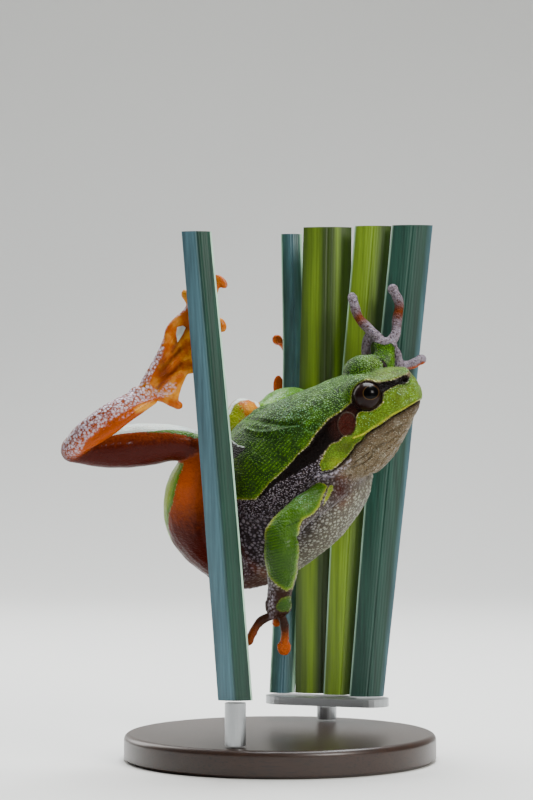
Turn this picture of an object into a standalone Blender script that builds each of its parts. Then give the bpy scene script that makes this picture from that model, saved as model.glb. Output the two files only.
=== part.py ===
"""European tree frog climbing between reed blades, a life-size display model.

Lengths in this file are millimetres until an object is made, where MM turns them to metres.
The frog's right side faces -Y. The origin is the middle of the base's underside, +Z is up.
"""
import bmesh
import bpy
import math
import numpy as np
from mathutils import Matrix, Vector

MM = 0.001
GAP = 0.3
VOXEL = 0.25

# Snout to vent 43 mm: an adult male. All sizes and places below follow from it.
EYE_RADIUS = 2.1
EYE_MOUND = (3.0, 2.95, 2.75)
EYE_MOUND_INSET = 0.75
EARDRUM_RADIUS = 1.45
DIGIT_RADIUS = 0.62
DISC_RADIUS = 1.05
WEB_HALF = 0.3
WEB_HOLLOW = 0.14

# The midline from the vent to the snout, with the upward direction of the back at each point.
MIDLINE = [
    ((-9.8, 2.1, 26.5), (-0.80, -0.18, 0.57)),
    ((-3.2, -1.9, 35.6), (-0.76, -0.18, 0.62)),
    ((2.3, -6.1, 42.7), (-0.68, -0.20, 0.70)),
    ((7.96, -10.5, 47.8), (-0.57, -0.25, 0.78)),
    ((13.93, -12.76, 51.26), (-0.5533, -0.2538, 0.7934)),
    ((19.9, -15.0, 54.71), (-0.5533, -0.2538, 0.7934)),
]
HEAD_BASE = Vector((7.96, -10.52, 47.81))
HEAD_FORWARD = Vector((0.8236, -0.309, 0.4755))
HEAD_LEFT = Vector((0.1245, 0.9166, 0.38))
HEAD_UP = Vector((-0.5533, -0.2538, 0.7934))

# Body sections: length along the midline from the head base (forward is +), half width,
# top and bottom of the section, height of its widest level, fullness of its top and bottom.
SECTIONS = [
    (-30.3, 1.2, 1.4, -1.2, 0.0, 2.0, 2.0),
    (-29.8, 2.8, 3.0, -3.0, 0.0, 2.0, 2.0),
    (-28.3, 4.2, 4.8, -5.2, 0.0, 2.0, 2.0),
    (-25.5, 5.4, 6.6, -7.4, -0.4, 2.0, 2.0),
    (-21.5, 6.8, 8.4, -9.2, -1.0, 2.1, 2.1),
    (-17.0, 8.2, 10.0, -10.4, -1.5, 2.1, 2.2),
    (-12.0, 9.2, 10.9, -11.2, -2.0, 2.1, 2.2),
    (-8.0, 9.2, 10.7, -11.0, -2.2, 2.1, 2.2),
    (-4.0, 8.3, 9.4, -10.2, -2.4, 2.1, 2.1),
    (0.0, 7.6, 8.0, -9.0, -2.8, 2.2, 2.1),
    (3.5, 7.3, 7.3, -7.7, -2.9, 2.4, 2.1),
    (6.5, 6.8, 6.6, -6.3, -2.6, 2.7, 2.1),
    (9.0, 6.0, 6.0, -4.8, -2.2, 2.7, 2.1),
    (11.3, 4.9, 5.3, -3.3, -1.6, 2.6, 2.1),
    (13.0, 3.6, 4.6, -2.0, -0.8, 2.4, 2.1),
    (14.0, 2.3, 3.7, -0.9, 0.5, 2.1, 2.0),
    (14.45, 1.0, 2.5, 0.3, 1.4, 2.0, 2.0),
]

# Landmarks of the head: forward, left and up from the head base.
EYE = (8.67, 4.45, 4.2)
EARDRUM = (4.5, 6.3, 2.7)
NOSTRIL = (13.6, 1.5, 3.0)
MOUTH_LINE = [(1.2, -3.3), (4.5, -2.75), (8.3, -2.2), (11.3, -1.8), (13.6, -1.45)]
MOUTH_DEPTH = 0.35
MOUTH_WIDTH = 0.33


def ease(rows, at):
    """Rows (knot, values...) read at places between the knots, on a smooth curve."""
    rows = np.array(rows, float)
    knots, values = rows[:, 0], rows[:, 1:]
    slopes = np.gradient(values, knots, axis=0)
    at = np.clip(np.atleast_1d(np.array(at, float)), knots[0], knots[-1])
    i = np.clip(np.searchsorted(knots, at) - 1, 0, len(knots) - 2)
    span = (knots[i + 1] - knots[i])[:, None]
    t = (at[:, None] - knots[i][:, None]) / span
    first = (2 * t ** 3 - 3 * t ** 2 + 1) * values[i]
    last = (3 * t ** 2 - 2 * t ** 3) * values[i + 1]
    lean = (t ** 3 - 2 * t ** 2 + t) * span * slopes[i] + (t ** 3 - t ** 2) * span * slopes[i + 1]
    return first + last + lean


def along(points, count):
    """A smooth path through points, which may carry radii after their x, y and z."""
    points = np.array(points, float)
    steps = np.linalg.norm(np.diff(points[:, :3], axis=0), axis=1)
    knots = np.concatenate([[0.0], np.cumsum(steps)])
    rows = np.column_stack([knots, points])
    return ease(rows, np.linspace(0.0, knots[-1], count))


def unit(rows):
    rows = np.array(rows, float)
    return rows / np.linalg.norm(rows, axis=-1, keepdims=True)


def new_object(name, points, faces, material=None):
    mesh = bpy.data.meshes.new(name)
    mesh.from_pydata([tuple(p) for p in points], [], faces)
    mesh.update()
    thing = bpy.data.objects.new(name, mesh)
    bpy.context.scene.collection.objects.link(thing)
    if material:
        mesh.materials.append(material)
    return thing


def skin_rings(rings):
    """Points and faces of a closed tube through rings of equal length."""
    sides = len(rings[0])
    points = np.concatenate(rings)
    faces = []
    for r in range(len(rings) - 1):
        for k in range(sides):
            a = r * sides + k
            b = r * sides + (k + 1) % sides
            faces.append((a, b, b + sides, a + sides))
    last = (len(rings) - 1) * sides
    faces.append(tuple(range(sides))[::-1])
    faces.append(tuple(range(last, last + sides)))
    return points, faces


def limb(points, side_hint, sides=16):
    """A tube through rows x, y, z, radius across, radius along the hint, with round ends."""
    rows = along(points, 5 * len(points))
    places, radii = rows[:, :3], rows[:, 3:5]
    heading = unit(np.gradient(places, axis=0))
    across = unit(np.cross(heading, np.array(side_hint, float)))
    flat = np.cross(across, heading)
    turn = np.linspace(0.0, 2 * math.pi, sides, endpoint=False)
    rings = []

    def ring(i, shift, size):
        centre = places[i] + heading[i] * shift
        return (centre + np.outer(np.cos(turn), across[i]) * radii[i, 0] * size
                + np.outer(np.sin(turn), flat[i]) * radii[i, 1] * size)

    for angle in (0.2, 0.6, 1.05):
        rings.append(ring(0, -radii[0].mean() * math.cos(angle), math.sin(angle)))
    for i in range(len(places)):
        rings.append(ring(i, 0.0, 1.0))
    for angle in (1.05, 0.6, 0.2):
        rings.append(ring(-1, radii[-1].mean() * math.cos(angle), math.sin(angle)))
    return skin_rings(rings)


def ball(centre, radii, axes=None, turns=20, levels=12):
    """An ellipsoid with its own three axes."""
    axes = np.eye(3) if axes is None else unit(axes)
    turn = np.linspace(0.0, 2 * math.pi, turns, endpoint=False)
    rings = []
    for angle in np.linspace(0.12, math.pi - 0.12, levels):
        flat = np.column_stack([np.cos(turn) * math.sin(angle), np.sin(turn) * math.sin(angle),
                                np.full(turns, -math.cos(angle))])
        rings.append(np.array(centre, float) + (flat * np.array(radii)) @ axes)
    return skin_rings(rings)


def sheet(edge_a, edge_b, bay, half=WEB_HALF, count=9, across=5):
    """A web between two digits, thick enough to hold, its free edge hollow by the share bay."""
    a, b = along(edge_a, 8 * count), along(edge_b, 8 * count)
    normal = unit(np.cross(a[-1] - a[0], b[-1] - a[0]))
    rows = []
    for reach in np.linspace(0.04, 1.0, count):
        for share in np.linspace(0.0, 1.0, across):
            pull = reach * (1.0 - bay * 4 * share * (1 - share))
            k = int(round(pull * (8 * count - 1)))
            rows.append(a[k] * (1 - share) + b[k] * share)
    rows = np.array(rows)
    points = np.concatenate([rows + normal * half, rows - normal * half])
    flat = count * across
    rim = list(range(across)) + [i * across + across - 1 for i in range(1, count)]
    rim += [(count - 1) * across + k for k in range(across - 2, -1, -1)]
    rim += [i * across for i in range(count - 2, 0, -1)]
    faces = []
    for i in range(count - 1):
        for k in range(across - 1):
            v = i * across + k
            square = (v, v + 1, v + 1 + across, v + across)
            faces += [square, tuple(flat + w for w in square[::-1])]
    for k, v in enumerate(rim):
        w = rim[(k + 1) % len(rim)]
        faces.append((w, v, v + flat, w + flat))
    return points, faces


def head_place(forward, left, up):
    return HEAD_BASE + HEAD_FORWARD * forward + HEAD_LEFT * left + HEAD_UP * up


def body_form():
    """The trunk and head as one loft along the midline."""
    points = np.array([p for p, up in MIDLINE])
    ups = np.array([up for p, up in MIDLINE])
    steps = np.linalg.norm(np.diff(points, axis=0), axis=1)
    knots = np.concatenate([[0.0], np.cumsum(steps)]) - steps[:3].sum()
    places = np.arange(SECTIONS[0][0], SECTIONS[-1][0], 0.6)
    places = np.append(places, SECTIONS[-1][0])
    sizes = ease(SECTIONS, places)
    rows = np.column_stack([knots, points])
    spine = ease(rows, places)
    beyond = np.minimum(places - knots[0], 0.0)[:, None]
    heading = unit(ease(rows, places + 0.4) - ease(rows, places - 0.4))
    spine = spine + beyond * heading
    up = ease(np.column_stack([knots, ups]), places)
    left = unit(np.cross(up, heading))
    up = np.cross(heading, left)
    turn = np.linspace(0.0, 2 * math.pi, 48, endpoint=False)
    rings = []
    for k in range(len(places)):
        half, top, bottom, level, full_top, full_low = sizes[k]
        high = np.sin(turn) >= 0
        full = np.where(high, full_top, full_low)
        reach = np.where(high, top - level, level - bottom)
        aside = half * np.sign(np.cos(turn)) * np.abs(np.cos(turn)) ** (2 / full)
        rise = level + reach * np.sign(np.sin(turn)) * np.abs(np.sin(turn)) ** (2 / full)
        rings.append(spine[k] + np.outer(aside, left[k]) + np.outer(rise, up[k]))
    return skin_rings(rings)


def fuse(name, forms, voxel=VOXEL, rounds=6):
    """Closed forms joined into one skin, its small steps smoothed away."""
    points, faces, base = [], [], 0
    for some, polygons in forms:
        points.append(np.array(some))
        faces += [tuple(v + base for v in f) for f in polygons]
        base += len(some)
    rough = new_object(name + "_rough", np.concatenate(points), faces)
    remesh = rough.modifiers.new("skin", "REMESH")
    remesh.mode = "VOXEL"
    remesh.voxel_size = voxel
    mesh = evaluated(rough)
    bpy.data.objects.remove(rough)
    places, edges = read_mesh(mesh)
    places = relax(places, edges, rounds)
    mesh.vertices.foreach_set("co", places.ravel())
    mesh.update()
    thing = bpy.data.objects.new(name, mesh)
    bpy.context.scene.collection.objects.link(thing)
    return thing


def evaluated(thing):
    graph = bpy.context.evaluated_depsgraph_get()
    return bpy.data.meshes.new_from_object(thing.evaluated_get(graph))


def read_mesh(mesh):
    places = np.empty(len(mesh.vertices) * 3)
    mesh.vertices.foreach_get("co", places)
    edges = np.empty(len(mesh.edges) * 2, dtype=np.int64)
    mesh.edges.foreach_get("vertices", edges)
    return places.reshape(-1, 3), edges.reshape(-1, 2)


def relax(places, edges, rounds, weight=1.0):
    """Smoothing that keeps the volume: a step in, then a slightly longer step out."""
    count = np.bincount(edges.ravel(), minlength=len(places))[:, None]
    weight = np.broadcast_to(np.reshape(weight, (-1, 1)), (len(places), 1))
    for _ in range(rounds):
        for push in (0.55, -0.57):
            total = np.empty_like(places)
            for axis in range(3):
                column = places[:, axis]
                total[:, axis] = np.bincount(edges[:, 0], column[edges[:, 1]], len(places))
                total[:, axis] += np.bincount(edges[:, 1], column[edges[:, 0]], len(places))
            places = places + (total / count - places) * push * weight
    return places


def normals(mesh):
    out = np.empty(len(mesh.vertices) * 3)
    mesh.vertices.foreach_get("normal", out)
    return out.reshape(-1, 3)


def bell(distance, width):
    return np.exp(-(distance / width) ** 2)


def sculpt_head(mesh):
    """Mouth line and lips, nostrils, lids, eardrums: moves along the skin's normals."""
    places, _ = read_mesh(mesh)
    out = normals(mesh)
    local = places - np.array(HEAD_BASE)
    x, y, z = (local @ np.array(v) for v in (HEAD_FORWARD, HEAD_LEFT, HEAD_UP))
    line = ease(MOUTH_LINE, x)[:, 0]
    in_mouth = np.clip((x - 0.8) / 1.0, 0, 1)
    off = z - line
    move = -MOUTH_DEPTH * bell(off, MOUTH_WIDTH) * in_mouth
    move += 0.18 * (bell(off - 0.75, 0.4) + bell(off + 0.75, 0.4)) * in_mouth
    aside = np.abs(y)
    for place, size, depth in ((NOSTRIL, 0.42, -0.45), (NOSTRIL, 0.9, 0.12)):
        away = np.sqrt((x - place[0]) ** 2 + (aside - place[1]) ** 2 + (z - place[2]) ** 2)
        move += depth * bell(away, size)
    away = np.sqrt((x - EARDRUM[0]) ** 2 + (z - EARDRUM[2]) ** 2) + 4.0 * (aside < 3.5)
    move += 0.16 * bell(away - EARDRUM_RADIUS, 0.3) - 0.12 * bell(away, 1.1)
    away = np.sqrt((x - EYE[0]) ** 2 + (z - EYE[2]) ** 2) + 4.0 * (aside < 2.0)
    move += 0.15 * bell(away - EYE_RADIUS - 0.35, 0.35)
    move -= 0.15 * bell(away - EYE_RADIUS - 1.1, 0.4)
    mesh.vertices.foreach_set("co", (places + out * move[:, None]).ravel())
    mesh.update()


def digit(points, tip_normal, radius=DIGIT_RADIUS, disc=DISC_RADIUS):
    """A finger or toe: a thin tube with a knuckle or two, ending in a round flat disc."""
    points = np.array(points, float)
    rows = along(points, 9)
    share = np.linspace(0.0, 1.0, 9)
    knuckle = 1.0 + 0.12 * np.sin(share * 3 * math.pi) ** 2 - 0.12 * share
    size = np.column_stack([radius * knuckle, radius * knuckle])
    rows = np.column_stack([rows, size])
    ahead = unit(points[-1] - points[-2])
    normal = unit(np.array(tip_normal, float) - ahead * np.dot(ahead, tip_normal))
    side = np.cross(ahead, normal)
    pad = ball(points[-1], (disc, disc * 1.05, disc * 0.55), (side, ahead, normal), 16, 9)
    return [limb(rows, normal, 12), pad]


def coarser(thing, faces_wanted):
    """Takes a skin down to about the triangles wanted, keeping its sharp forms."""
    count = sum(len(p.vertices) - 2 for p in thing.data.polygons)
    shrink = thing.modifiers.new("coarser", "DECIMATE")
    shrink.ratio = min(1.0, faces_wanted / count)
    mesh = evaluated(thing)
    thing.modifiers.clear()
    thing.data = mesh


def copied(thing, name):
    copy = bpy.data.objects.new(name, thing.data.copy())
    bpy.context.scene.collection.objects.link(copy)
    return copy


def cut(thing, cutters):
    """Cuts closed forms out of a thing, and removes them."""
    for tool in cutters:
        trim = thing.modifiers.new("cut", "BOOLEAN")
        trim.operation = "DIFFERENCE"
        trim.solver = "EXACT"
        trim.object = tool
    mesh = evaluated(thing)
    thing.modifiers.clear()
    thing.data = mesh
    for tool in cutters:
        bpy.data.objects.remove(tool)


def disc_cut(centre, heading, radius):
    """A thin round plate that parts two pieces where they meet."""
    heading = unit(heading)
    hint = (0.0, 0.0, 1.0) if abs(heading[2]) < 0.8 else (1.0, 0.0, 0.0)
    across = unit(np.cross(hint, heading))
    other = np.cross(heading, across)
    turn = np.linspace(0.0, 2 * math.pi, 24, endpoint=False)
    ring = np.outer(np.cos(turn), across) * radius + np.outer(np.sin(turn), other) * radius
    centre = np.array(centre, float)
    return new_object("plate", *skin_rings([ring + centre - heading * GAP / 2,
                                            ring + centre + heading * GAP / 2]))


def swollen(thing, by=GAP):
    """A copy of a thing, larger by a gap all round."""
    copy = copied(thing, thing.name + "_swollen")
    places, _ = read_mesh(copy.data)
    copy.data.vertices.foreach_set("co", (places + normals(copy.data) * by).ravel())
    copy.data.update()
    return copy


def islands(mesh):
    """Sets of faces that hang together, as separate lists of points and faces."""
    form = bmesh.new()
    form.from_mesh(mesh)
    seen, found = set(), []
    for start in form.faces:
        if start.index in seen:
            continue
        seen.add(start.index)
        group, wave = [], [start]
        while wave:
            face = wave.pop()
            group.append(face)
            for edge in face.edges:
                for other in edge.link_faces:
                    if other.index not in seen:
                        seen.add(other.index)
                        wave.append(other)
        used = {}
        faces = []
        for face in group:
            faces.append([used.setdefault(v.index, len(used)) for v in face.verts])
        form.verts.ensure_lookup_table()
        points = np.array([form.verts[i].co[:] for i in used])
        found.append((points, faces))
    form.free()
    return found


def part_out(thing, names, material):
    """Parts a cut mesh into its islands: each name takes the island nearest to its own spot."""
    pieces = [p for p in islands(thing.data) if len(p[0]) > 20]
    bpy.data.objects.remove(thing)
    made = {}
    for name, spot in names.items():
        nearest = min(pieces, key=lambda p: np.linalg.norm(p[0] - np.array(spot), axis=1).min())
        made[name] = new_object(name, *nearest, material)
    return made


def finish(thing):
    """Puts a thing made in millimetres into metres, shaded smooth."""
    thing.data.transform(Matrix.Scale(MM, 4))
    thing.data.shade_smooth()
    thing.data.set_sharp_from_angle(angle=math.radians(50))
    thing.data.update()


def surface(name, colour, roughness, metallic=0.0):
    material = bpy.data.materials.new(name)
    material.use_nodes = True
    shader = material.node_tree.nodes["Principled BSDF"]
    shader.inputs["Base Color"].default_value = (*colour, 1.0)
    shader.inputs["Roughness"].default_value = roughness
    shader.inputs["Metallic"].default_value = metallic
    return material


# Limb paths: x, y, z, radius across, radius flat, from the root outwards.
LIMBS = {
    "upper_arm_right": [
        (9.6, -12.6, 42.6, 2.4, 2.2), (6.2, -15.4, 39.5, 2.2, 2.0), (2.2, -18.0, 37.0, 2.0, 1.9),
        (-0.8, -19.0, 34.4, 2.0, 1.9)],
    "forearm_right": [
        (-0.8, -19.0, 34.4, 2.0, 1.9), (-0.4, -18.9, 31.6, 2.4, 2.2), (0.0, -18.0, 28.4, 2.1, 1.9),
        (-0.1, -17.0, 25.4, 1.6, 1.4), (-0.2, -16.8, 24.2, 1.5, 1.2)],
    "upper_arm_left": [
        (8.6, -3.2, 46.0, 2.3, 2.2), (9.4, 2.0, 49.0, 2.0, 2.0), (9.8, 7.2, 54.2, 1.9, 1.9)],
    "forearm_left": [
        (9.8, 7.2, 54.2, 1.9, 1.9), (12.0, 8.2, 56.2, 2.0, 1.9), (14.6, 8.3, 57.6, 1.5, 1.3),
        (15.4, 8.5, 59.2, 1.2, 0.9)],
    "thigh_right": [
        (-6.6, -2.6, 29.6, 3.6, 3.6), (-9.8, -6.6, 31.6, 3.9, 3.9), (-12.6, -10.4, 36.0, 4.1, 4.0),
        (-12.6, -13.0, 41.0, 3.5, 3.3), (-10.9, -14.3, 45.4, 2.3, 2.2)],
    "shank_right": [
        (-10.9, -14.3, 46.0, 2.1, 2.1), (-14.5, -14.6, 46.8, 2.5, 2.4), (-20.0, -15.2, 46.6, 3.1, 2.7),
        (-25.5, -15.8, 46.1, 2.7, 2.3), (-30.0, -16.6, 45.9, 1.8, 1.7)],
    "tarsus_right": [
        (-30.2, -17.2, 46.2, 1.7, 1.6), (-27.4, -19.3, 48.3, 1.9, 1.6), (-24.2, -19.2, 50.8, 1.8, 1.5),
        (-21.2, -17.8, 53.2, 1.7, 1.2)],
    "tarsal_fold_right": [
        (-28.0, -19.2, 46.5, 0.8, 0.9), (-25.6, -20.0, 47.9, 1.0, 0.9), (-23.2, -19.7, 49.8, 0.6, 0.6)],
    "thigh_left": [
        (-6.9, 2.6, 31.4, 3.5, 3.5), (-8.0, 4.8, 35.8, 3.9, 3.8), (-8.2, 6.2, 42.0, 3.8, 3.7),
        (-7.0, 6.2, 47.6, 3.0, 2.9), (-5.6, 6.2, 51.0, 2.2, 2.1)],
    "shank_left": [
        (-5.6, 6.2, 51.2, 2.2, 2.1), (-2.6, 9.6, 51.9, 2.6, 2.5), (1.4, 14.6, 51.4, 2.7, 2.5),
        (5.6, 19.6, 50.6, 1.8, 1.7)],
    "tarsus_left": [
        (5.8, 20.4, 50.2, 1.7, 1.6), (2.2, 21.4, 47.4, 1.6, 1.5), (-1.6, 22.6, 45.2, 1.4, 1.3)],
}
LIMB_SIDE = {"shank_left": (0.0, 0.0, 1.0)}
SKIN_FOLDS = {"leg_right": ["tarsal_fold_right"]}
CHAINS = {
    "arm_right": ("upper_arm_right", "forearm_right", "hand_right"),
    "arm_left": ("upper_arm_left", "forearm_left", "hand_left"),
    "leg_right": ("thigh_right", "shank_right", "tarsus_right", "foot_right"),
    "leg_left": ("thigh_left", "shank_left", "tarsus_left", "foot_left"),
}
CHAIN_FACES = {"arm_right": 1350, "arm_left": 1300, "leg_right": 2400, "leg_left": 2100}

# Hands and feet: the palm where the digits start and its size, the way the palm faces, each
# digit's points to its tip, and how far along the digits each web between neighbours reaches.
PAWS = {
    "hand_right": {
        "palm": (-0.2, -16.8, 23.8), "pad": (1.6, 1.1, 1.5), "face": (0.0, -1.0, 0.1), "webs": (),
        "digits": [[(-0.9, -16.9, 22.8), (-2.6, -16.8, 21.6), (-4.3, -16.6, 19.0)],
                   [(0.5, -15.8, 20.2), (0.35, -15.0, 17.1)],
                   [(-0.6, -15.4, 22.4), (-1.0, -14.2, 20.9)],
                   [(0.3, -15.0, 23.8), (0.2, -12.6, 22.6)]]},
    "hand_left": {
        "palm": (15.6, 8.9, 61.0), "pad": (1.5, 0.9, 1.5), "face": (0.0, -1.0, 0.1), "webs": (),
        "digits": [[(14.0, 10.2, 61.0), (12.8, 11.4, 59.4)],
                   [(13.6, 10.0, 63.4), (11.8, 11.6, 65.6), (10.7, 12.4, 68.2)],
                   [(16.8, 9.6, 63.0), (17.9, 10.2, 65.6), (17.9, 10.6, 68.2), (16.7, 10.7, 69.6)],
                   [(17.6, 9.6, 60.6), (19.6, 10.2, 59.0), (21.2, 10.5, 58.9)]]},
    "foot_right": {
        "palm": (-20.8, -17.2, 53.7), "pad": (1.7, 1.0, 1.6), "face": (0.1, -1.0, 0.1),
        "webs": (0.85, 0.9, 0.9, 0.95),
        "digits": [[(-18.0, -16.8, 53.6), (-14.6, -16.6, 52.3)],
                   [(-17.0, -16.4, 55.6), (-12.8, -16.2, 57.4)],
                   [(-16.9, -16.2, 57.0), (-12.8, -15.6, 60.8), (-8.8, -16.0, 63.7)],
                   [(-17.4, -16.2, 57.8), (-14.0, -15.6, 62.6), (-10.8, -15.7, 67.4),
                    (-8.2, -16.3, 69.3)],
                   [(-18.0, -16.5, 57.5), (-16.2, -16.2, 61.2), (-14.8, -16.0, 64.4),
                    (-13.4, -15.9, 67.9)]]},
    "foot_left": {
        "palm": (-1.6, 23.4, 45.6), "pad": (1.4, 1.0, 1.5), "face": (0.0, 1.0, 0.1),
        "webs": (0.6, 0.6, 0.6, 0.6),
        "digits": [[(0.4, 25.6, 49.6), (0.9, 26.6, 54.0), (-0.3, 25.4, 55.8)],
                   [(1.0, 26.2, 50.0), (1.8, 27.4, 57.0), (1.0, 27.4, 61.2), (-0.3, 26.0, 62.4)],
                   [(1.8, 26.4, 50.4), (3.0, 27.8, 58.0), (3.4, 28.2, 65.6)],
                   [(2.4, 26.0, 49.8), (4.2, 27.4, 55.6), (5.4, 27.8, 61.4)],
                   [(2.0, 25.4, 48.4), (4.2, 26.6, 51.4), (6.0, 27.0, 54.8)]]},
}


def paw_forms(paw):
    """Digits from one palm, with webs between neighbours where there are any."""
    forms = [ball(paw["palm"], paw["pad"], turns=16, levels=9)]
    for path in paw["digits"]:
        forms += digit([paw["palm"]] + path, paw["face"])
    paths = [along([paw["palm"]] + path, 41) for path in paw["digits"]]
    for a, b, reach in zip(paths, paths[1:], paw["webs"]):
        last = int(41 * reach)
        forms.append(sheet(a[:last:4], b[:last:4], WEB_HOLLOW))
    return forms


def parting(way_in, way_out, wrap=1.45):
    """The plate that parts two limb pieces at their joint, across the inside of the bend."""
    way_in, way_out = np.array(way_in, float), np.array(way_out, float)
    joint = (way_in[-1, :3] + way_out[0, :3]) / 2
    ahead, onward = unit(way_in[-1, :3] - way_in[-2, :3]), unit(way_out[1, :3] - way_out[0, :3])
    heading = unit(ahead + onward)
    inward = unit(onward - ahead)
    bend = math.acos(np.clip(-ahead @ onward, -1, 1)) / 2
    thick = way_in[-2, 3] if len(way_in[0]) > 3 else 1.5
    clear = way_in[-1, 3] * wrap
    reach = max(clear, 1.15 * thick / math.sin(bend))
    return disc_cut(joint + inward * (reach - clear) / 2, heading, (reach + clear) / 2)


def limb_way(name):
    """A limb's path; for a hand or foot, the way from its palm to the middle of its digits."""
    if name in LIMBS:
        return LIMBS[name]
    paw = PAWS[name]
    middle = np.mean([path[0] for path in paw["digits"]], axis=0)
    return [tuple(paw["palm"]), tuple(middle)]


def make_chain(name, room, material):
    """An arm or a leg in one skin, trimmed by the body, then parted at its joints."""
    pieces = CHAINS[name]
    forms = []
    for limb_name in list(pieces[:-1]) + SKIN_FOLDS.get(name, []):
        forms.append(limb(LIMBS[limb_name], LIMB_SIDE.get(limb_name, (0.0, 1.0, 0.0))))
    forms += paw_forms(PAWS[pieces[-1]])
    chain = fuse(name, forms)
    coarser(chain, CHAIN_FACES[name])
    plates = [parting(limb_way(a), limb_way(b)) for a, b in zip(pieces, pieces[1:])]
    clear = [blade(n, line, np.array(widths) + 2 * GAP, thick + 2 * GAP, hollow, None, True)
             for n, (line, widths, thick, hollow) in BLADES.items()]
    cut(chain, [copied(room, "trim")] + clear + plates)
    spots = {n: limb_way(n)[len(limb_way(n)) // 2][:3] for n in pieces}
    return part_out(chain, spots, material)


# The plate that parts head and trunk, and how fine each of them is.
NECK = (-1.0, 0.0, -1.0)
NECK_RADIUS = 16.0
HEAD_BODY_FACES = 5400
TORSO_BODY_FACES = 3600
TRIM_BODY_FACES = 6000
TRIM_MORE = 0.05

# The stand, and the level where the back leaves are cut.
BASE_RADIUS = 23.0
BASE_HEIGHT = 4.0
BASE_EDGE = 0.8
ROD_RADIUS = 1.5
ROD_BACK = (7.2, 15.6)
SHOE_HEIGHT = 1.2
SHOE_RADIUS = 3.0
SHOE_ENDS = ((0.9, 17.9), (13.6, 13.3))
LEAF_END = 8.0

# Reed blades: points of the middle line from the lower to the upper end, the widths there,
# thickness, hollow of the front.
BLADES = {
    "reed_leaf_front": [
        ((-6.4, -18.5, 10.6), (-9.05, -18.5, 44.5), (-11.9, -18.5, 76.8)), (4.9, 4.7, 4.2), 1.0, 0.5],
    "reed_leaf_back_left": [
        ((0.4, 18.2, LEAF_END), (1.7, 21.6, 36.0), (2.4, 24.2, 56.0), (1.9, 26.6, 79.0)),
        (3.9, 3.9, 3.8, 3.3), 0.9, 0.4],
    "reed_leaf_back_wide": [
        ((6.6, 17.6, LEAF_END), (6.8, 18.0, 40.0), (7.4, 18.6, 79.6)), (8.4, 8.2, 7.4), 1.1, 0.7],
    "reed_leaf_back_middle": [
        ((9.2, 15.4, LEAF_END), (11.0, 15.4, 40.0), (14.3, 15.4, 79.6)), (5.0, 5.6, 5.6), 1.0, 0.5],
    "reed_leaf_back_right": [
        ((13.2, 12.8, LEAF_END), (16.2, 13.0, 40.0), (20.2, 13.4, 79.6)), (5.2, 6.2, 6.2), 1.0, 0.5],
}


def blade(name, line, widths, thick, hollow, material, long=False, stations=8, across=7):
    """A reed leaf: a thin strip, thickest in the middle, its back hollow, cut off at both ends."""
    rows = along(line, stations)
    if long:
        rows[0, 2] -= GAP
        rows[-1, 2] += GAP
    sizes = np.interp(np.linspace(0, 1, stations), np.linspace(0, 1, len(widths)), widths)
    share = np.linspace(-1.0, 1.0, across)
    half = thick / 2 * (0.3 + 0.7 * (1 - share ** 2))
    bend = hollow * share ** 2
    rings = []
    for place, width in zip(rows, sizes):
        front = np.column_stack([share * width / 2, bend - half, np.zeros(across)])
        back = np.column_stack([share * width / 2, bend + half, np.zeros(across)])
        rings.append(place + np.concatenate([front, back[::-1]]))
    return new_object(name, *skin_rings(rings), material)


def turned(name, radius, low, high, at, material, bevel=0.0, sides=48):
    """A round rod or plate, standing upright."""
    form = bmesh.new()
    bmesh.ops.create_cone(form, cap_ends=True, segments=sides, radius1=radius, radius2=radius,
                          depth=high - low)
    mesh = bpy.data.meshes.new(name)
    form.to_mesh(mesh)
    form.free()
    mesh.transform(Matrix.Translation((at[0], at[1], (low + high) / 2)))
    mesh.materials.append(material)
    thing = bpy.data.objects.new(name, mesh)
    bpy.context.scene.collection.objects.link(thing)
    if bevel:
        soft = thing.modifiers.new("edge", "BEVEL")
        soft.width = bevel
        soft.segments = 2
        soft.limit_method = "ANGLE"
        thing.data = evaluated(thing)
        thing.modifiers.clear()
    return thing


def shoe(name, ends, radius, low, high, material, sides=12):
    """A flat plate with round ends, on which the cut leaves of the back shoot stand."""
    a, b = (np.array(end) for end in ends)
    way = unit(b - a)
    heading = math.atan2(way[1], way[0])
    rim = []
    for centre, start in ((b, -math.pi / 2), (a, math.pi / 2)):
        for turn in np.linspace(0.0, math.pi, sides):
            angle = heading + start + turn
            rim.append(centre + radius * np.array([math.cos(angle), math.sin(angle)]))
    rings = [np.column_stack([rim, np.full(len(rim), level)]) for level in (low, high)]
    return new_object(name, *skin_rings(rings), material)


def eyeball(name, side, material):
    form = bmesh.new()
    bmesh.ops.create_uvsphere(form, u_segments=20, v_segments=12, radius=EYE_RADIUS)
    mesh = bpy.data.meshes.new(name)
    form.to_mesh(mesh)
    form.free()
    axes = Matrix((HEAD_FORWARD, HEAD_UP, HEAD_LEFT * side)).transposed().to_4x4()
    place = head_place(EYE[0], side * EYE[1], EYE[2])
    mesh.transform(Matrix.Translation(place) @ axes)
    if side > 0:
        mesh.flip_normals()
    mesh.materials.append(material)
    thing = bpy.data.objects.new(name, mesh)
    bpy.context.scene.collection.objects.link(thing)
    return thing


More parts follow.
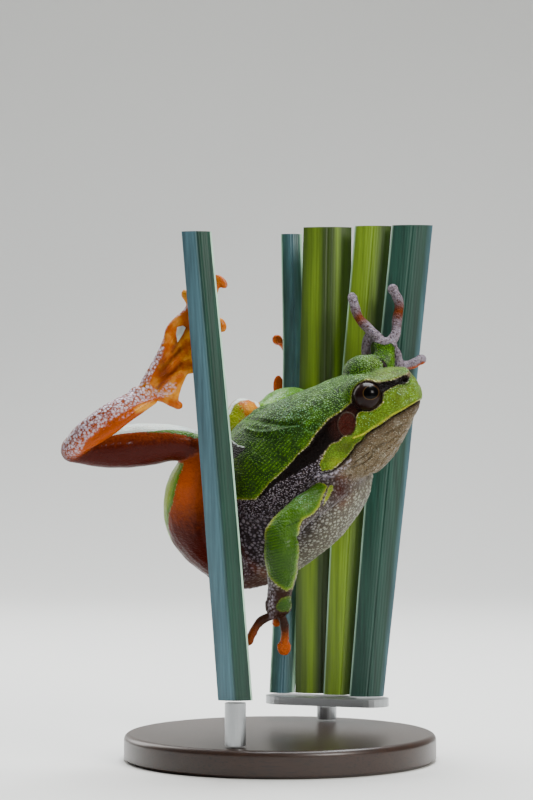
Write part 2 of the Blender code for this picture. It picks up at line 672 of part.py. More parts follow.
def main():
    for thing in list(bpy.data.objects):
        bpy.data.objects.remove(thing)

    green = surface("frog_green", (0.16, 0.34, 0.05), 0.4)
    orange = surface("frog_orange", (0.6, 0.2, 0.05), 0.4)
    eye_dark = surface("frog_eye", (0.02, 0.012, 0.01), 0.1)
    leaf = surface("reed_green", (0.1, 0.25, 0.15), 0.5)
    wood = surface("stand_wood", (0.05, 0.03, 0.02), 0.35)
    steel = surface("stand_steel", (0.5, 0.5, 0.5), 0.3, 1.0)

    mounds = []
    for side in (1, -1):
        place = head_place(EYE[0], side * (EYE[1] - EYE_MOUND_INSET), EYE[2] - 0.1)
        mounds.append(ball(place, EYE_MOUND, (HEAD_FORWARD, HEAD_LEFT, HEAD_UP)))
    body = fuse("body", [body_form()] + mounds)
    sculpt_head(body.data)
    room = swollen(body, GAP + TRIM_MORE)
    coarser(room, TRIM_BODY_FACES)

    for name in CHAINS:
        make_chain(name, room, green if name.startswith("arm") else orange)
    bpy.data.objects.remove(room)

    for name, faces, spot in (("head", HEAD_BODY_FACES, head_place(10.0, 0.0, 6.0)),
                              ("torso", TORSO_BODY_FACES, (2.0, -6.0, 32.0))):
        whole = copied(body, name + "_whole")
        coarser(whole, faces)
        tools = [disc_cut(head_place(*NECK), HEAD_FORWARD, NECK_RADIUS)]
        if name == "head":
            for side in (1, -1):
                socket = ball(head_place(EYE[0], side * EYE[1], EYE[2]), (EYE_RADIUS + GAP,) * 3)
                tools.append(new_object("socket", *socket))
        cut(whole, tools)
        part_out(whole, {name: spot}, green)
    bpy.data.objects.remove(body)
    eyeball("eye_left", 1, eye_dark)
    eyeball("eye_right", -1, eye_dark)

    for name, (line, widths, thick, hollow) in BLADES.items():
        blade(name, line, widths, thick, hollow, leaf)
    front = BLADES["reed_leaf_front"][0][0]
    turned("stand_base", BASE_RADIUS, 0.0, BASE_HEIGHT, (0.0, 0.0), wood, BASE_EDGE, 48)
    turned("stand_rod_front", ROD_RADIUS, BASE_HEIGHT + GAP, front[2] - GAP, front, steel, 0.0, 24)
    shoe_low = LEAF_END - GAP - SHOE_HEIGHT
    turned("stand_rod_back", ROD_RADIUS, BASE_HEIGHT + GAP, shoe_low - GAP, ROD_BACK, steel, 0.0, 24)
    shoe("stand_shoe_back", SHOE_ENDS, SHOE_RADIUS, shoe_low, LEAF_END - GAP, steel)
    for thing in bpy.data.objects:
        finish(thing)


if __name__ == "__main__":
    main()
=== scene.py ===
"""European tree frog climbing between cut reed blades, on a round display stand.

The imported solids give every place. This file dresses them: one continuous skin for the frog,
its eyes, the veined blades, the stand and the studio. Lengths are millimetres until a mesh is
made, where MM turns them to metres. The frog's right side faces -Y, towards the camera.
"""

import math
from functools import partial
from types import SimpleNamespace

import bmesh
import bpy
import numpy as np
from mathutils import Matrix, Vector, noise


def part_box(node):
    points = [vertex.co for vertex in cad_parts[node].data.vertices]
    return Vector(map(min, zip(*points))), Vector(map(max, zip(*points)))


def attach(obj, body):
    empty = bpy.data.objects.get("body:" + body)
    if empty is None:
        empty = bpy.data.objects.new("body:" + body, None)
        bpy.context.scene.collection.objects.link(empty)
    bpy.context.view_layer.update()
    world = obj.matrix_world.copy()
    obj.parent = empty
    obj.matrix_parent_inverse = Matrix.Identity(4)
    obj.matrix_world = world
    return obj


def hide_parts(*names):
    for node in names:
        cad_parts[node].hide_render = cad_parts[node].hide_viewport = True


bl_info = {
    "name": "Tree Frog on Reed Blades",
    "version": (1, 0, 0),
    "blender": (4, 5, 0),
    "location": "3D View > Sidebar > Tree Frog",
    "description": "Dresses the tree frog display model: skin, eyes, reed blades, stand and studio",
    "category": "Object",
}

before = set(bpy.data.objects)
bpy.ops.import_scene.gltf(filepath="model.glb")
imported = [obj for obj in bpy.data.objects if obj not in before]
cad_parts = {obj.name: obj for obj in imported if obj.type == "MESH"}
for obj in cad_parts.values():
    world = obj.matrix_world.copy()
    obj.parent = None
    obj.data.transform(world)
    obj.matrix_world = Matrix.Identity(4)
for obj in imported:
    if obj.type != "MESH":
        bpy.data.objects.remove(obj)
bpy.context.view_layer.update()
MM = 0.001

# The camera stands level. UNIT is the size of one picture unit in millimetres at the frog.
CAMERA = np.array((-2.0, -427.0, 53.0))
PICTURE = (533.0, 800.0)
FOCUS = 2896.55
SENSOR = 36.0
UNIT = 0.145

EYE_RADIUS = 2.1
EYE_MOUND = (3.1, 2.95, 3.2)
EYE_MOUND_FROM_EYE = {-1: (-0.85, -0.75, 0.4), 1: (-1.0, -0.9, 0.7)}
DIGIT_RADIUS = 0.62
DISC_HALF = 0.55

# How far a part's markings reach, what counts as far away, how softly the markings blend and
# the limbs join, and how high the pebbles of body and legs stand, all in millimetres.
REACH = 4.5
FAR = 9.0
BLEND = 0.3
JOINT = 1.1
PEBBLE_HEIGHT = (0.085, 0.06)

# The midline from the vent to the snout, with the upward direction of the back at each point.
MIDLINE = [
    ((-9.8, 2.1, 26.5), (-0.80, -0.18, 0.57)),
    ((-3.2, -1.9, 35.6), (-0.76, -0.18, 0.62)),
    ((2.3, -6.1, 42.7), (-0.68, -0.20, 0.70)),
    ((7.96, -10.5, 47.8), (-0.57, -0.25, 0.78)),
    ((13.93, -12.76, 51.26), (-0.5533, -0.2538, 0.7934)),
    ((19.9, -15.0, 54.71), (-0.5533, -0.2538, 0.7934)),
]
HEAD_BASE = np.array((7.96, -10.52, 47.81))
HEAD_AXES = np.array(((0.8236, -0.309, 0.4755), (0.1245, 0.9166, 0.38), (-0.5533, -0.2538, 0.7934)))

# Body sections: length along the midline from the head base (forward is +), half width,
# top and bottom of the section, height of its widest level, fullness of its top and bottom.
SECTIONS = [
    (-30.3, 1.2, 1.4, -1.2, 0.0, 2.0, 2.0),
    (-29.8, 2.8, 3.0, -3.0, 0.0, 2.0, 2.0),
    (-28.3, 4.2, 4.8, -5.2, 0.0, 2.0, 2.0),
    (-25.5, 5.4, 6.6, -7.4, -0.4, 2.0, 2.0),
    (-21.5, 6.8, 8.4, -9.2, -1.0, 2.1, 2.1),
    (-17.0, 8.2, 10.0, -10.4, -1.5, 2.1, 2.2),
    (-12.0, 9.2, 10.9, -11.2, -2.0, 2.1, 2.2),
    (-8.0, 9.2, 10.7, -11.0, -2.2, 2.1, 2.2),
    (-4.0, 8.3, 9.4, -10.2, -2.4, 2.1, 2.1),
    (-1.6, 7.9, 8.6, -9.2, -2.6, 2.1, 2.1),
    (0.6, 7.55, 7.9, -7.1, -2.8, 2.2, 2.1),
    (3.5, 7.3, 7.3, -7.2, -2.9, 2.4, 2.1),
    (6.5, 6.8, 6.6, -6.3, -2.6, 2.7, 2.1),
    (9.0, 6.0, 5.6, -4.8, -2.2, 2.7, 2.1),
    (11.3, 4.9, 4.75, -3.3, -1.6, 2.6, 2.1),
    (13.0, 3.6, 4.1, -2.0, -0.8, 2.4, 2.1),
    (14.0, 2.3, 3.35, -0.9, 0.5, 2.1, 2.0),
    (14.45, 1.0, 2.4, 0.3, 1.4, 2.0, 2.0),
]

# Landmarks of the head: forward, left and up from the head base.
EYE = (8.67, 4.45, 4.2)
EYE_OPENINGS = {-1: ((0.14, 0.93, 0.3), 73.0), 1: ((0.0, 0.98, 0.12), 61.0)}
EYE_GAZE = (0.62, 0.72, 0.3)
EARDRUM_RADIUS = 1.35

# Limb paths: x, y, z, radius across, radius flat, from the root outwards.
LIMBS = {
    "upper_arm_right": [
        (9.6, -12.6, 42.6, 2.4, 2.2), (6.2, -15.4, 39.5, 2.1, 2.0), (2.4, -18.0, 36.9, 2.05, 1.9),
        (-0.1, -19.0, 34.2, 2.2, 1.9)],
    "forearm_right": [
        (-0.1, -19.0, 34.2, 2.2, 1.9), (0.15, -18.9, 31.4, 2.5, 2.2), (0.15, -18.0, 28.4, 2.15, 1.9),
        (-0.2, -17.0, 25.4, 1.75, 1.4), (-0.3, -16.8, 24.2, 1.75, 1.2)],
    "upper_arm_left": [
        (8.6, -3.2, 46.0, 2.3, 2.2), (9.4, 2.0, 49.0, 2.0, 2.0), (9.8, 7.2, 54.2, 1.9, 1.9)],
    "forearm_left": [
        (9.8, 7.2, 54.2, 1.9, 1.9), (12.0, 8.2, 56.2, 2.0, 1.9), (14.8, 8.3, 57.6, 1.75, 1.4),
        (15.9, 8.6, 59.6, 1.8, 1.0)],
    "thigh_right": [
        (-6.6, -2.6, 29.6, 3.6, 3.6), (-9.8, -6.6, 31.6, 3.9, 3.9), (-12.6, -10.4, 36.0, 4.1, 4.0),
        (-12.6, -13.0, 41.0, 3.5, 3.3), (-10.9, -14.3, 45.4, 2.3, 2.2)],
    "shank_right": [
        (-10.9, -14.3, 46.0, 2.1, 2.1), (-14.5, -14.6, 46.8, 2.5, 2.4), (-20.0, -15.2, 46.6, 3.1, 2.7),
        (-25.5, -15.8, 46.1, 2.7, 2.3), (-29.4, -16.6, 45.9, 1.8, 1.7)],
    "tarsus_right": [
        (-29.4, -17.2, 46.2, 1.7, 1.6), (-27.2, -19.3, 48.2, 1.9, 1.6), (-24.2, -19.2, 50.6, 1.8, 1.5),
        (-21.0, -17.8, 52.7, 1.5, 1.2)],
    "tarsal_fold_right": [
        (-28.0, -19.2, 46.5, 0.8, 0.9), (-25.6, -20.0, 47.9, 1.0, 0.9), (-22.8, -19.8, 49.8, 0.9, 0.8),
        (-20.2, -18.5, 51.7, 0.9, 0.8), (-18.0, -17.4, 52.9, 0.6, 0.6)],
    "thigh_left": [
        (-6.9, 2.6, 31.4, 3.5, 3.5), (-8.0, 4.8, 35.8, 3.9, 3.8), (-8.2, 6.2, 42.0, 3.8, 3.7),
        (-7.0, 6.2, 47.6, 3.0, 2.9), (-5.6, 6.2, 51.0, 2.2, 2.1)],
    "shank_left": [
        (-5.6, 6.2, 51.2, 2.2, 2.1), (-3.0, 9.2, 50.5, 2.2, 2.1), (0.6, 13.4, 52.3, 2.7, 2.5),
        (3.2, 16.6, 52.3, 2.5, 2.4), (5.6, 19.6, 50.6, 1.7, 1.6)],
    "tarsus_left": [
        (5.8, 20.4, 50.2, 1.7, 1.6), (2.2, 21.4, 47.4, 1.6, 1.5), (-1.6, 22.6, 45.2, 1.4, 1.3)],
}
LIMB_SIDE = {"shank_left": (0.0, 0.0, 1.0)}

# Hands and feet: the palm where the digits start and its size, the way the palm faces, each
# digit's points to its tip, and how far along the digits each web between neighbours reaches.
PAWS = {
    "hand_right": {
        "palm": (-0.35, -16.8, 23.9), "pad": (1.95, 1.2, 1.7), "face": (0.0, -1.0, 0.1), "webs": (),
        "discs": ((0.72, 0.9), (1.0, 1.2), (0.62, 0.8), (0.75, 0.85)),
        "digits": [[(-0.9, -16.9, 22.8), (-2.8, -16.8, 21.7), (-4.5, -16.6, 19.0)],
                   [(0.6, -15.8, 20.6), (0.5, -15.0, 17.8)],
                   [(-0.4, -15.4, 22.4), (-0.6, -14.2, 21.3)],
                   [(0.3, -15.0, 23.8), (0.2, -12.6, 22.6)]]},
    "hand_left": {
        "palm": (15.9, 8.9, 61.2), "pad": (1.8, 0.9, 1.3), "face": (0.0, -1.0, 0.1), "webs": (),
        "thick": 1.2,
        "discs": ((0.7, 0.8), (0.75, 1.1), (0.8, 0.85), (0.8, 0.9)),
        "digits": [[(13.7, 10.2, 62.7), (13.1, 10.7, 61.4), (13.3, 10.9, 58.6)],
                   [(13.8, 10.0, 63.4), (11.9, 11.6, 65.6), (11.1, 12.4, 68.3)],
                   [(17.3, 9.6, 62.6), (17.7, 10.2, 65.1), (18.0, 10.6, 67.7), (17.1, 10.7, 69.7)],
                   [(17.6, 9.6, 60.0), (18.0, 9.9, 58.5), (19.6, 10.2, 58.3), (21.3, 10.5, 59.1)]]},
    "foot_right": {
        "palm": (-20.2, -17.2, 53.5), "pad": (1.5, 1.0, 1.5), "face": (0.1, -1.0, 0.1),
        "webs": (1.0, 1.0, 1.0, 0.97), "hollow": 0.05,
        "discs": ((0.62, 0.75), (0.7, 0.85), (1.2, 0.85), (1.25, 0.7), (0.6, 0.8)),
        "digits": [[(-18.0, -16.8, 53.6), (-14.6, -16.6, 52.3)],
                   [(-17.0, -16.4, 55.6), (-12.8, -16.2, 57.4)],
                   [(-16.9, -16.2, 57.0), (-12.8, -15.6, 60.8), (-8.6, -16.0, 63.7)],
                   [(-17.4, -16.2, 57.8), (-14.0, -15.6, 62.6), (-10.8, -15.7, 67.4),
                    (-8.5, -16.3, 69.8)],
                   [(-18.2, -16.5, 57.3), (-16.2, -16.2, 61.2), (-15.6, -16.1, 63.3),
                    (-14.1, -16.0, 64.8), (-12.8, -15.9, 66.0), (-13.5, -15.9, 67.9)]]},
    "foot_left": {
        "palm": (-1.6, 23.4, 45.6), "pad": (1.4, 1.0, 1.5), "face": (0.0, 1.0, 0.1),
        "webs": (0.6, 0.6, 0.6, 0.6), "hollow": 0.14,
        "discs": ((0.88, 1.9), (0.8, 1.0), (0.8, 0.95), (0.75, 0.95), (0.7, 0.85)),
        "digits": [[(0.4, 25.6, 49.6), (0.0, 26.2, 53.0), (-0.1, 25.8, 55.0)],
                   [(1.0, 26.2, 50.0), (1.8, 27.4, 57.0), (1.0, 27.4, 61.2), (-0.3, 26.0, 62.4)],
                   [(1.8, 26.4, 50.4), (3.0, 27.8, 58.0), (3.4, 28.2, 65.6)],
                   [(2.4, 26.0, 49.8), (4.2, 27.4, 55.6), (5.4, 27.8, 61.4)],
                   [(2.0, 25.4, 48.4), (4.2, 26.6, 51.4), (6.0, 27.0, 54.8)]]},
}

# Outlines of the markings, of the painted highlights and of the painted rump shadow, as they lie on the
# right side, in picture units seen by the camera.
# The left side of the body takes them mirrored.
STRIPE_TOP = [
    (352, 402), (340, 412.5), (329.5, 418.5), (316, 433.5), (308.5, 445.5), (298, 454.5),
    (290.5, 463.5), (280, 474), (269.5, 483), (256, 499.5)]
STRIPE_FRONT = [
    (331, 444), (338, 441.5), (345, 436), (352, 430), (356, 424), (356.5, 418), (358, 413),
    (363, 411), (370, 411.5), (378, 408), (383, 402)]
BACK_GREEN = [
    (409, 373), (404, 375.5), (392, 380.5), (384, 382), (378, 382), (372, 380), (366, 380),
    (358, 384), (353, 390), (351.5, 397), *STRIPE_TOP, (235, 499.5), (205, 499), (160, 520),
    (120, 500), (120, 300), (440, 300), (440, 385), (419, 380)]
SIDE_GREEN = [
    (407, 383), (412, 372), (430, 372), (440, 398), (419, 401.6), (410.7, 406), (401.8, 411.4),
    (391, 416.8), (382, 424), (373, 429.3), (366, 434), (364.7, 438.7), (355.7, 444), (352, 450),
    (347.5, 456), (340, 463.5), (332.5, 469.5), (322, 471), (319.7, 465), (323.5, 454.5),
    *STRIPE_FRONT, (382, 398), (384, 392), (390, 388), (398, 384)]
STRIPE = [
    (410, 377), (409, 381), (404, 384.5), (398, 385), (390, 389), (384, 393), *STRIPE_FRONT[::-1],
    (324, 452), (316, 462), (304, 468), (294, 476), (283, 486), (270, 494), *STRIPE_TOP[::-1],
    (351.5, 396), (354, 389), (360, 383.5), (368, 381), (378, 383), (392, 380.5), (404, 375.5)]
ARM_GREEN = [
    (325, 483), (328, 486), (323.5, 495), (319, 507), (313, 514.5), (303, 519.5), (299.6, 526.5),
    (299.2, 537), (299.4, 555), (297.6, 570), (292.6, 589), (286, 591), (277, 585.5), (269, 577),
    (264.4, 563), (262.5, 547.5), (264.6, 532), (272, 519), (282, 505), (297, 489), (310, 480),
    (319, 478)]
ARM_STRIP = [(331, 482), (335, 486), (330, 495), (323.5, 505.5), (325, 498), (328, 489)]
HAND_PATCH = [
    (276.5, 603), (282, 597.5), (288.6, 596), (293, 597.5), (293, 607), (288.6, 612), (282, 613),
    (275, 609.5)]
# The next two are a painted highlight on a wet fold of the web and a painted highlight line low along
# the shank.
WEB_HIGHLIGHT = [(177, 327), (183, 325.5), (186, 327.5), (182.5, 335), (177.5, 343), (176, 335)]
SHANK_HIGHLIGHT = [(101, 446), (112, 443.5), (132, 443)]
GRANULES = [
    (54, 452), (57, 432), (70, 418), (86, 407), (107, 393), (124, 384), (133, 375), (141, 359),
    (150, 346), (160, 339), (165, 348), (161, 360), (153, 374), (150, 384), (157, 389), (168, 382),
    (178, 382), (177, 391), (168, 397), (152, 400), (137, 405), (124, 413), (110, 422), (97, 432),
    (86, 443), (78, 458), (66, 462)]
FOLD_BRIGHT = [(134, 409), (141, 404), (152, 401.5), (160, 401), (158, 407), (146, 411), (136, 413)]
FOOT_RIM = [(160, 348), (162, 338), (164, 328), (170, 320), (180, 313), (190, 304)]
TARSAL_EDGE = [(97, 431), (105, 426.5), (115, 421), (123.5, 417), (132, 413)]
WEB_EDGE = [(194, 370), (186, 379), (179, 389), (176, 398)]
# Painted highlights along the rims of two toe discs.
TOE_RIMS = ([(214, 272), (221, 275), (226, 283), (227, 290)], [(216, 316), (222, 316), (226, 320)])
JAW_FOLD = [(317, 475.5), (330, 474.5), (343, 468), (351, 460)]
TARSUS_TOP = [
    (60, 444), (74, 427), (90, 415.5), (111, 401.5), (129, 391.5), (140.5, 380.5), (149, 364),
    (158, 350)]
FOOT_FOLDS = [
    [(172, 352), (178, 340), (185, 328)], [(160, 376), (168, 364), (180, 350)],
    [(158, 388), (168, 376), (181, 364)]]
LEFT_HAND_PATCH = [
    (373, 342), (378, 344.5), (384, 346.5), (391, 343.5), (394.5, 348), (395, 358), (394, 376),
    (374, 376), (373, 358)]
THIGH_GREEN = [
    (183, 452), (187, 459), (180, 474), (175.5, 489), (173, 503), (169, 513), (168, 530),
    (170, 548), (160, 548), (158, 510), (160, 492), (166, 475), (176, 457)]
# A painted highlight along the knee's rim, another along the rump's edge, and the painted shadow in the
# gap between the rump and the thigh.
KNEE_HIGHLIGHT = [(228, 412), (231.4, 403.7), (239.2, 398), (249, 396.4), (256.7, 400.2), (259, 404.4)]
RUMP_LINE = [(227.2, 433.8), (231.4, 440.8), (237.7, 445.7), (244, 447.1)]
RUMP_SHADOW = [
    (220, 432), (228.5, 437), (232, 442.5), (238, 447), (245, 448.5), (239, 453), (233, 459),
    (226, 464), (220, 464)]

# The line of the mouth and the folds of the skin, on the right side of the head and body.
MOUTH = [
    (420, 401.4), (410.7, 406.4), (401.8, 411.8), (391, 417.4), (382, 424.6), (373, 430),
    (366, 434.8), (361.5, 441), (355.7, 445.5), (352, 451.5), (347.5, 457.5), (340, 465),
    (332.5, 471), (321, 473.5)]
UPPER_LIP = [
    (419.5, 400.8), (410.7, 405.3), (401.8, 410.6), (391, 416), (382, 423.2), (373, 428.6),
    (364, 434.2), (354, 438.2)]
CANTHUS = [(408, 374), (402, 375), (392, 379.5), (384, 381), (378, 382)]
BROW = [(352, 401), (345, 408), (338, 413), (329.5, 417.5), (316, 432.5), (306, 446)]
BACK_FOLD = [(246, 418), (262, 421), (280, 424.5), (300, 424)]
# Painted shade lies along the elbow fold.
ELBOW_FOLD = [(286, 526), (293, 524), (301, 520)]

# Each ridge or groove: its line, height and width in millimetres, and how far below the line it is.
RIDGES = [
    (CANTHUS, 0.16, 0.3, 0.0), (CANTHUS, -0.12, 0.45, 0.75), (BROW, 0.14, 0.3, 0.0),
    (BROW, -0.10, 0.35, 0.55), (BACK_FOLD, -0.28, 0.34, 0.0),
    ([(246, 429), (256, 432), (268, 432.5), (282, 430), (297, 426.5), (313, 419)], 0.26, 0.26, 0.0),
    ([(240, 424), (254, 425.5), (268, 427)], 0.1, 0.25, 0.0),
    ([(250, 437), (268, 438), (286, 436)], -0.1, 0.3, 0.0),
    ([(290, 416), (306, 413), (322, 405)], -0.07, 0.3, 0.0),
    ([(330, 478), (342, 477), (350, 483), (353, 493), (350, 502)], -0.14, 0.22, 0.0),
    ([(336, 473), (350, 471), (360, 478), (364, 488), (362, 497)], -0.12, 0.22, 0.0),
    ([(322, 475), (336, 475), (346, 480)], 0.12, 0.2, 0.0),
    ([(356, 462), (367, 468), (374, 477)], -0.1, 0.25, 0.0)]

# Landmarks in picture units, and where colours begin and end. Four numbers are a soft patch: its
# middle, half width and half height. RUMP_FROM is in millimetres behind the head base.
NOSTRIL_AT = (405.3, 379.5)
EARDRUM_AT = (347.4, 424.6)
EARDRUM_TALL = 0.76
FAR_LID_AT = (365, 365)
KNEE_YELLOW_AT = (234, 416)
STRIPE_FADE = (266, 334)
LOBE_FROM = (-362, -350)
RUMP_FROM = (21.5, 26.0)
KNEE_END = 259.5
THIGH_HIDDEN = (226, 240)
THIGH_LOW = (480, 550)
FOREARM_LOW = (505, 575)
FURROWS_ACROSS = (276, 290)
FURROWS_FROM = (512, 524)
WRIST_SPECKS = 271
HAND_TOP = 590
# Less painted sky sheen on the crown and more in the sheen patch; painted shade on the upper jaw lobe.
CROWN = (388, 374, 18, 6)
SHEEN = (268, 402, 28, 12)
LOBE_SHADE = (346, 446, 11, 7)
LOBE_YELLOW = (337, 464, 11, 9)
ARMPIT = (341, 491, 7.93, 11.33)
KNEE = (243, 412, 20, 20)
KNEE_ORANGE = (250, 408.5, 8, 6.67)
WEB_HEART = (164, 370, 12, 22)
# Painted blue-green sheen where the light strikes the snout, the cheek, the upper arm and the back.
SHEEN_PATCHES = (
    (410, 374, 8, 6), (414, 386, 7, 10), (396, 397, 12, 6), (365, 420, 9, 6), (300, 500, 12, 9),
    (296, 415, 30, 18))


def ease(rows, at):
    """Rows (knot, values...) read at places between the knots, on a smooth curve."""
    rows = np.array(rows, float)
    knots, values = rows[:, 0], rows[:, 1:]
    slopes = np.gradient(values, knots, axis=0)
    at = np.clip(np.atleast_1d(np.array(at, float)), knots[0], knots[-1])
    i = np.clip(np.searchsorted(knots, at) - 1, 0, len(knots) - 2)
    span = (knots[i + 1] - knots[i])[:, None]
    t = (at[:, None] - knots[i][:, None]) / span
    first = (2 * t ** 3 - 3 * t ** 2 + 1) * values[i]
    last = (3 * t ** 2 - 2 * t ** 3) * values[i + 1]
    lean = (t ** 3 - 2 * t ** 2 + t) * span * slopes[i] + (t ** 3 - t ** 2) * span * slopes[i + 1]
    return first + last + lean


def along(points, count):
    """A smooth path through points, which may carry radii after their x, y and z."""
    points = np.array(points, float)
    steps = np.linalg.norm(np.diff(points[:, :3], axis=0), axis=1)
    knots = np.concatenate([[0.0], np.cumsum(steps)])
    return ease(np.column_stack([knots, points]), np.linspace(0.0, knots[-1], count))


def unit(rows):
    rows = np.array(rows, float)
    return rows / np.linalg.norm(rows, axis=-1, keepdims=True)


def bell(distance, width):
    return np.exp(-(distance / width) ** 2)


def step_up(value, low, high):
    """From 0 at low to 1 at high, with soft ends."""
    t = np.clip((value - low) / (high - low), 0.0, 1.0)
    return t * t * (3 - 2 * t)


def link_object(name, data):
    thing = bpy.data.objects.new(name, data)
    bpy.context.scene.collection.objects.link(thing)
    return thing


def new_object(name, points, faces, scale=1.0):
    mesh = bpy.data.meshes.new(name)
    mesh.from_pydata([tuple(p) for p in np.array(points) * scale], [], faces)
    mesh.update()
    return link_object(name, mesh)


def skin_rings(rings):
    """Points and faces of a closed tube through rings of equal length."""
    sides = len(rings[0])
    points = np.concatenate(rings)
    faces = []
    for r in range(len(rings) - 1):
        for k in range(sides):
            a = r * sides + k
            b = r * sides + (k + 1) % sides
            faces.append((a, b, b + sides, a + sides))
    last = (len(rings) - 1) * sides
    faces.append(tuple(range(sides))[::-1])
    faces.append(tuple(range(last, last + sides)))
    return points, faces


def limb(rows, side_hint, sides=24):
    """A tube through rows x, y, z, radius across, radius along the hint, with round ends."""
    rows = along(rows, 8 * len(rows))
    places, radii = rows[:, :3], rows[:, 3:5]
    heading = unit(np.gradient(places, axis=0))
    across = unit(np.cross(heading, np.array(side_hint, float)))
    flat = np.cross(across, heading)
    turn = np.linspace(0.0, 2 * math.pi, sides, endpoint=False)

    def ring(i, shift, size):
        centre = places[i] + heading[i] * shift
        return (centre + np.outer(np.cos(turn), across[i]) * radii[i, 0] * size
                + np.outer(np.sin(turn), flat[i]) * radii[i, 1] * size)

    rings = [ring(0, -radii[0].mean() * math.cos(a), math.sin(a)) for a in (0.15, 0.5, 0.85, 1.2)]
    rings += [ring(i, 0.0, 1.0) for i in range(len(places))]
    rings += [ring(-1, radii[-1].mean() * math.cos(a), math.sin(a)) for a in (1.2, 0.85, 0.5, 0.15)]
    return skin_rings(rings)


def ball(centre, radii, axes=None, turns=28, levels=18):
    """An ellipsoid with its own three axes."""
    axes = np.eye(3) if axes is None else unit(axes)
    turn = np.linspace(0.0, 2 * math.pi, turns, endpoint=False)
    rings = []
    for angle in np.linspace(0.08, math.pi - 0.08, levels):
        flat = np.column_stack([np.cos(turn) * math.sin(angle), np.sin(turn) * math.sin(angle),
                                np.full(turns, -math.cos(angle))])
        rings.append(np.array(centre, float) + (flat * np.array(radii)) @ axes)
    return skin_rings(rings)


def web_rows(edge_a, edge_b, hollow, count, across):
    """Points of the web between two digits, its free edge hollow by a share of its length."""
    a, b = along(edge_a, 8 * count), along(edge_b, 8 * count)
    rows = []
    for reach in np.linspace(0.04, 1.0, count):
        for share in np.linspace(0.0, 1.0, across):
            pull = reach * (1.0 - hollow * 4 * share * (1 - share))
            k = int(round(pull * (8 * count - 1)))
            rows.append(a[k] * (1 - share) + b[k] * share)
    normal = unit(np.cross(a[-1] - a[0], b[-1] - a[0]))
    return np.array(rows), normal


def web(edge_a, edge_b, hollow, half, count=14, across=9):
    """A web between two digits, as a thin closed form."""
    rows, normal = web_rows(edge_a, edge_b, hollow, count, across)
    points = np.concatenate([rows + normal * half, rows - normal * half])
    flat = count * across
    rim = list(range(across)) + [i * across + across - 1 for i in range(1, count)]
    rim += [(count - 1) * across + k for k in range(across - 2, -1, -1)]
    rim += [i * across for i in range(count - 2, 0, -1)]
    faces = []
    for i in range(count - 1):
        for k in range(across - 1):
            v = i * across + k
            square = (v, v + 1, v + 1 + across, v + across)
            faces += [square, tuple(flat + w for w in square[::-1])]
    for k, v in enumerate(rim):
        w = rim[(k + 1) % len(rim)]
        faces.append((w, v, v + flat, w + flat))
    return points, faces


def digit_rows(palm, path, thick):
    """A digit's path with its radii: thicker at the joints."""
    rows = along([palm] + path, 12)
    share = np.linspace(0.0, 1.0, 12)
    size = DIGIT_RADIUS * thick * (1.0 + 0.12 * np.sin(share * 3 * math.pi) ** 2 - 0.12 * share)
    return np.column_stack([rows, size, size])


def head_place(forward, left, up):
    return HEAD_BASE + np.array((forward, left, up)) @ HEAD_AXES


class Body:
    """The trunk and head: the sections, and a point's own place among them."""

    def __init__(self, spacing=0.3):
        points = np.array([p for p, up in MIDLINE])
        ups = np.array([up for p, up in MIDLINE])
        steps = np.linalg.norm(np.diff(points, axis=0), axis=1)
        knots = np.concatenate([[0.0], np.cumsum(steps)]) - steps[:3].sum()
        rows = np.column_stack([knots, points])
        self.places = np.arange(SECTIONS[0][0], SECTIONS[-1][0], spacing)
        self.places = np.append(self.places, SECTIONS[-1][0])
        self.sizes = ease(SECTIONS, self.places)
        self.heading = unit(ease(rows, self.places + 0.4) - ease(rows, self.places - 0.4))
        beyond = np.minimum(self.places - knots[0], 0.0)[:, None]
        self.spine = ease(rows, self.places) + beyond * self.heading
        up = ease(np.column_stack([knots, ups]), self.places)
        self.left = unit(np.cross(up, self.heading))
        self.up = np.cross(self.heading, self.left)

    def form(self, sides=72):
        turn = np.linspace(0.0, 2 * math.pi, sides, endpoint=False)
        high = np.sin(turn) >= 0
        rings = []
        for k, (half, top, bottom, level, full_top, full_low) in enumerate(self.sizes):
            full = np.where(high, full_top, full_low)
            reach = np.where(high, top - level, level - bottom)
            aside = half * np.sign(np.cos(turn)) * np.abs(np.cos(turn)) ** (2 / full)
            rise = level + reach * np.sign(np.sin(turn)) * np.abs(np.sin(turn)) ** (2 / full)
            rings.append(self.spine[k] + np.outer(aside, self.left[k]) + np.outer(rise, self.up[k]))
        return skin_rings(rings)

    def locate(self, points):
        """Place along, aside, the depth outside the skin, the angle round, the mirrored point."""
        nearest = np.empty(len(points), int)
        for start in range(0, len(points), 20000):
            block = points[start:start + 20000]
            gap = ((block[:, None, :] - self.spine[None, ::2]) ** 2).sum(axis=2)
            nearest[start:start + 20000] = gap.argmin(axis=1) * 2
        off = points - self.spine[nearest]
        ahead = (off * self.heading[nearest]).sum(axis=1)
        aside = (off * self.left[nearest]).sum(axis=1)
        rise = (off * self.up[nearest]).sum(axis=1)
        half, top, bottom, level = self.sizes[nearest, :4].T
        reach = np.where(rise > level, top - level, level - bottom)
        share = np.sqrt((aside / half) ** 2 + ((rise - level) / reach) ** 2)
        size = np.sqrt(half * reach)
        outside = (share - 1.0) * np.minimum(size, np.minimum(half, reach) + 1.0)
        outside = np.maximum(outside, np.abs(ahead) - 0.7)
        angle = np.arctan2((rise - level) / reach, np.abs(aside) / half)
        mirrored = points - 2 * np.maximum(aside, 0.0)[:, None] * self.left[nearest]
        return self.places[nearest] + ahead, aside, outside, angle, mirrored


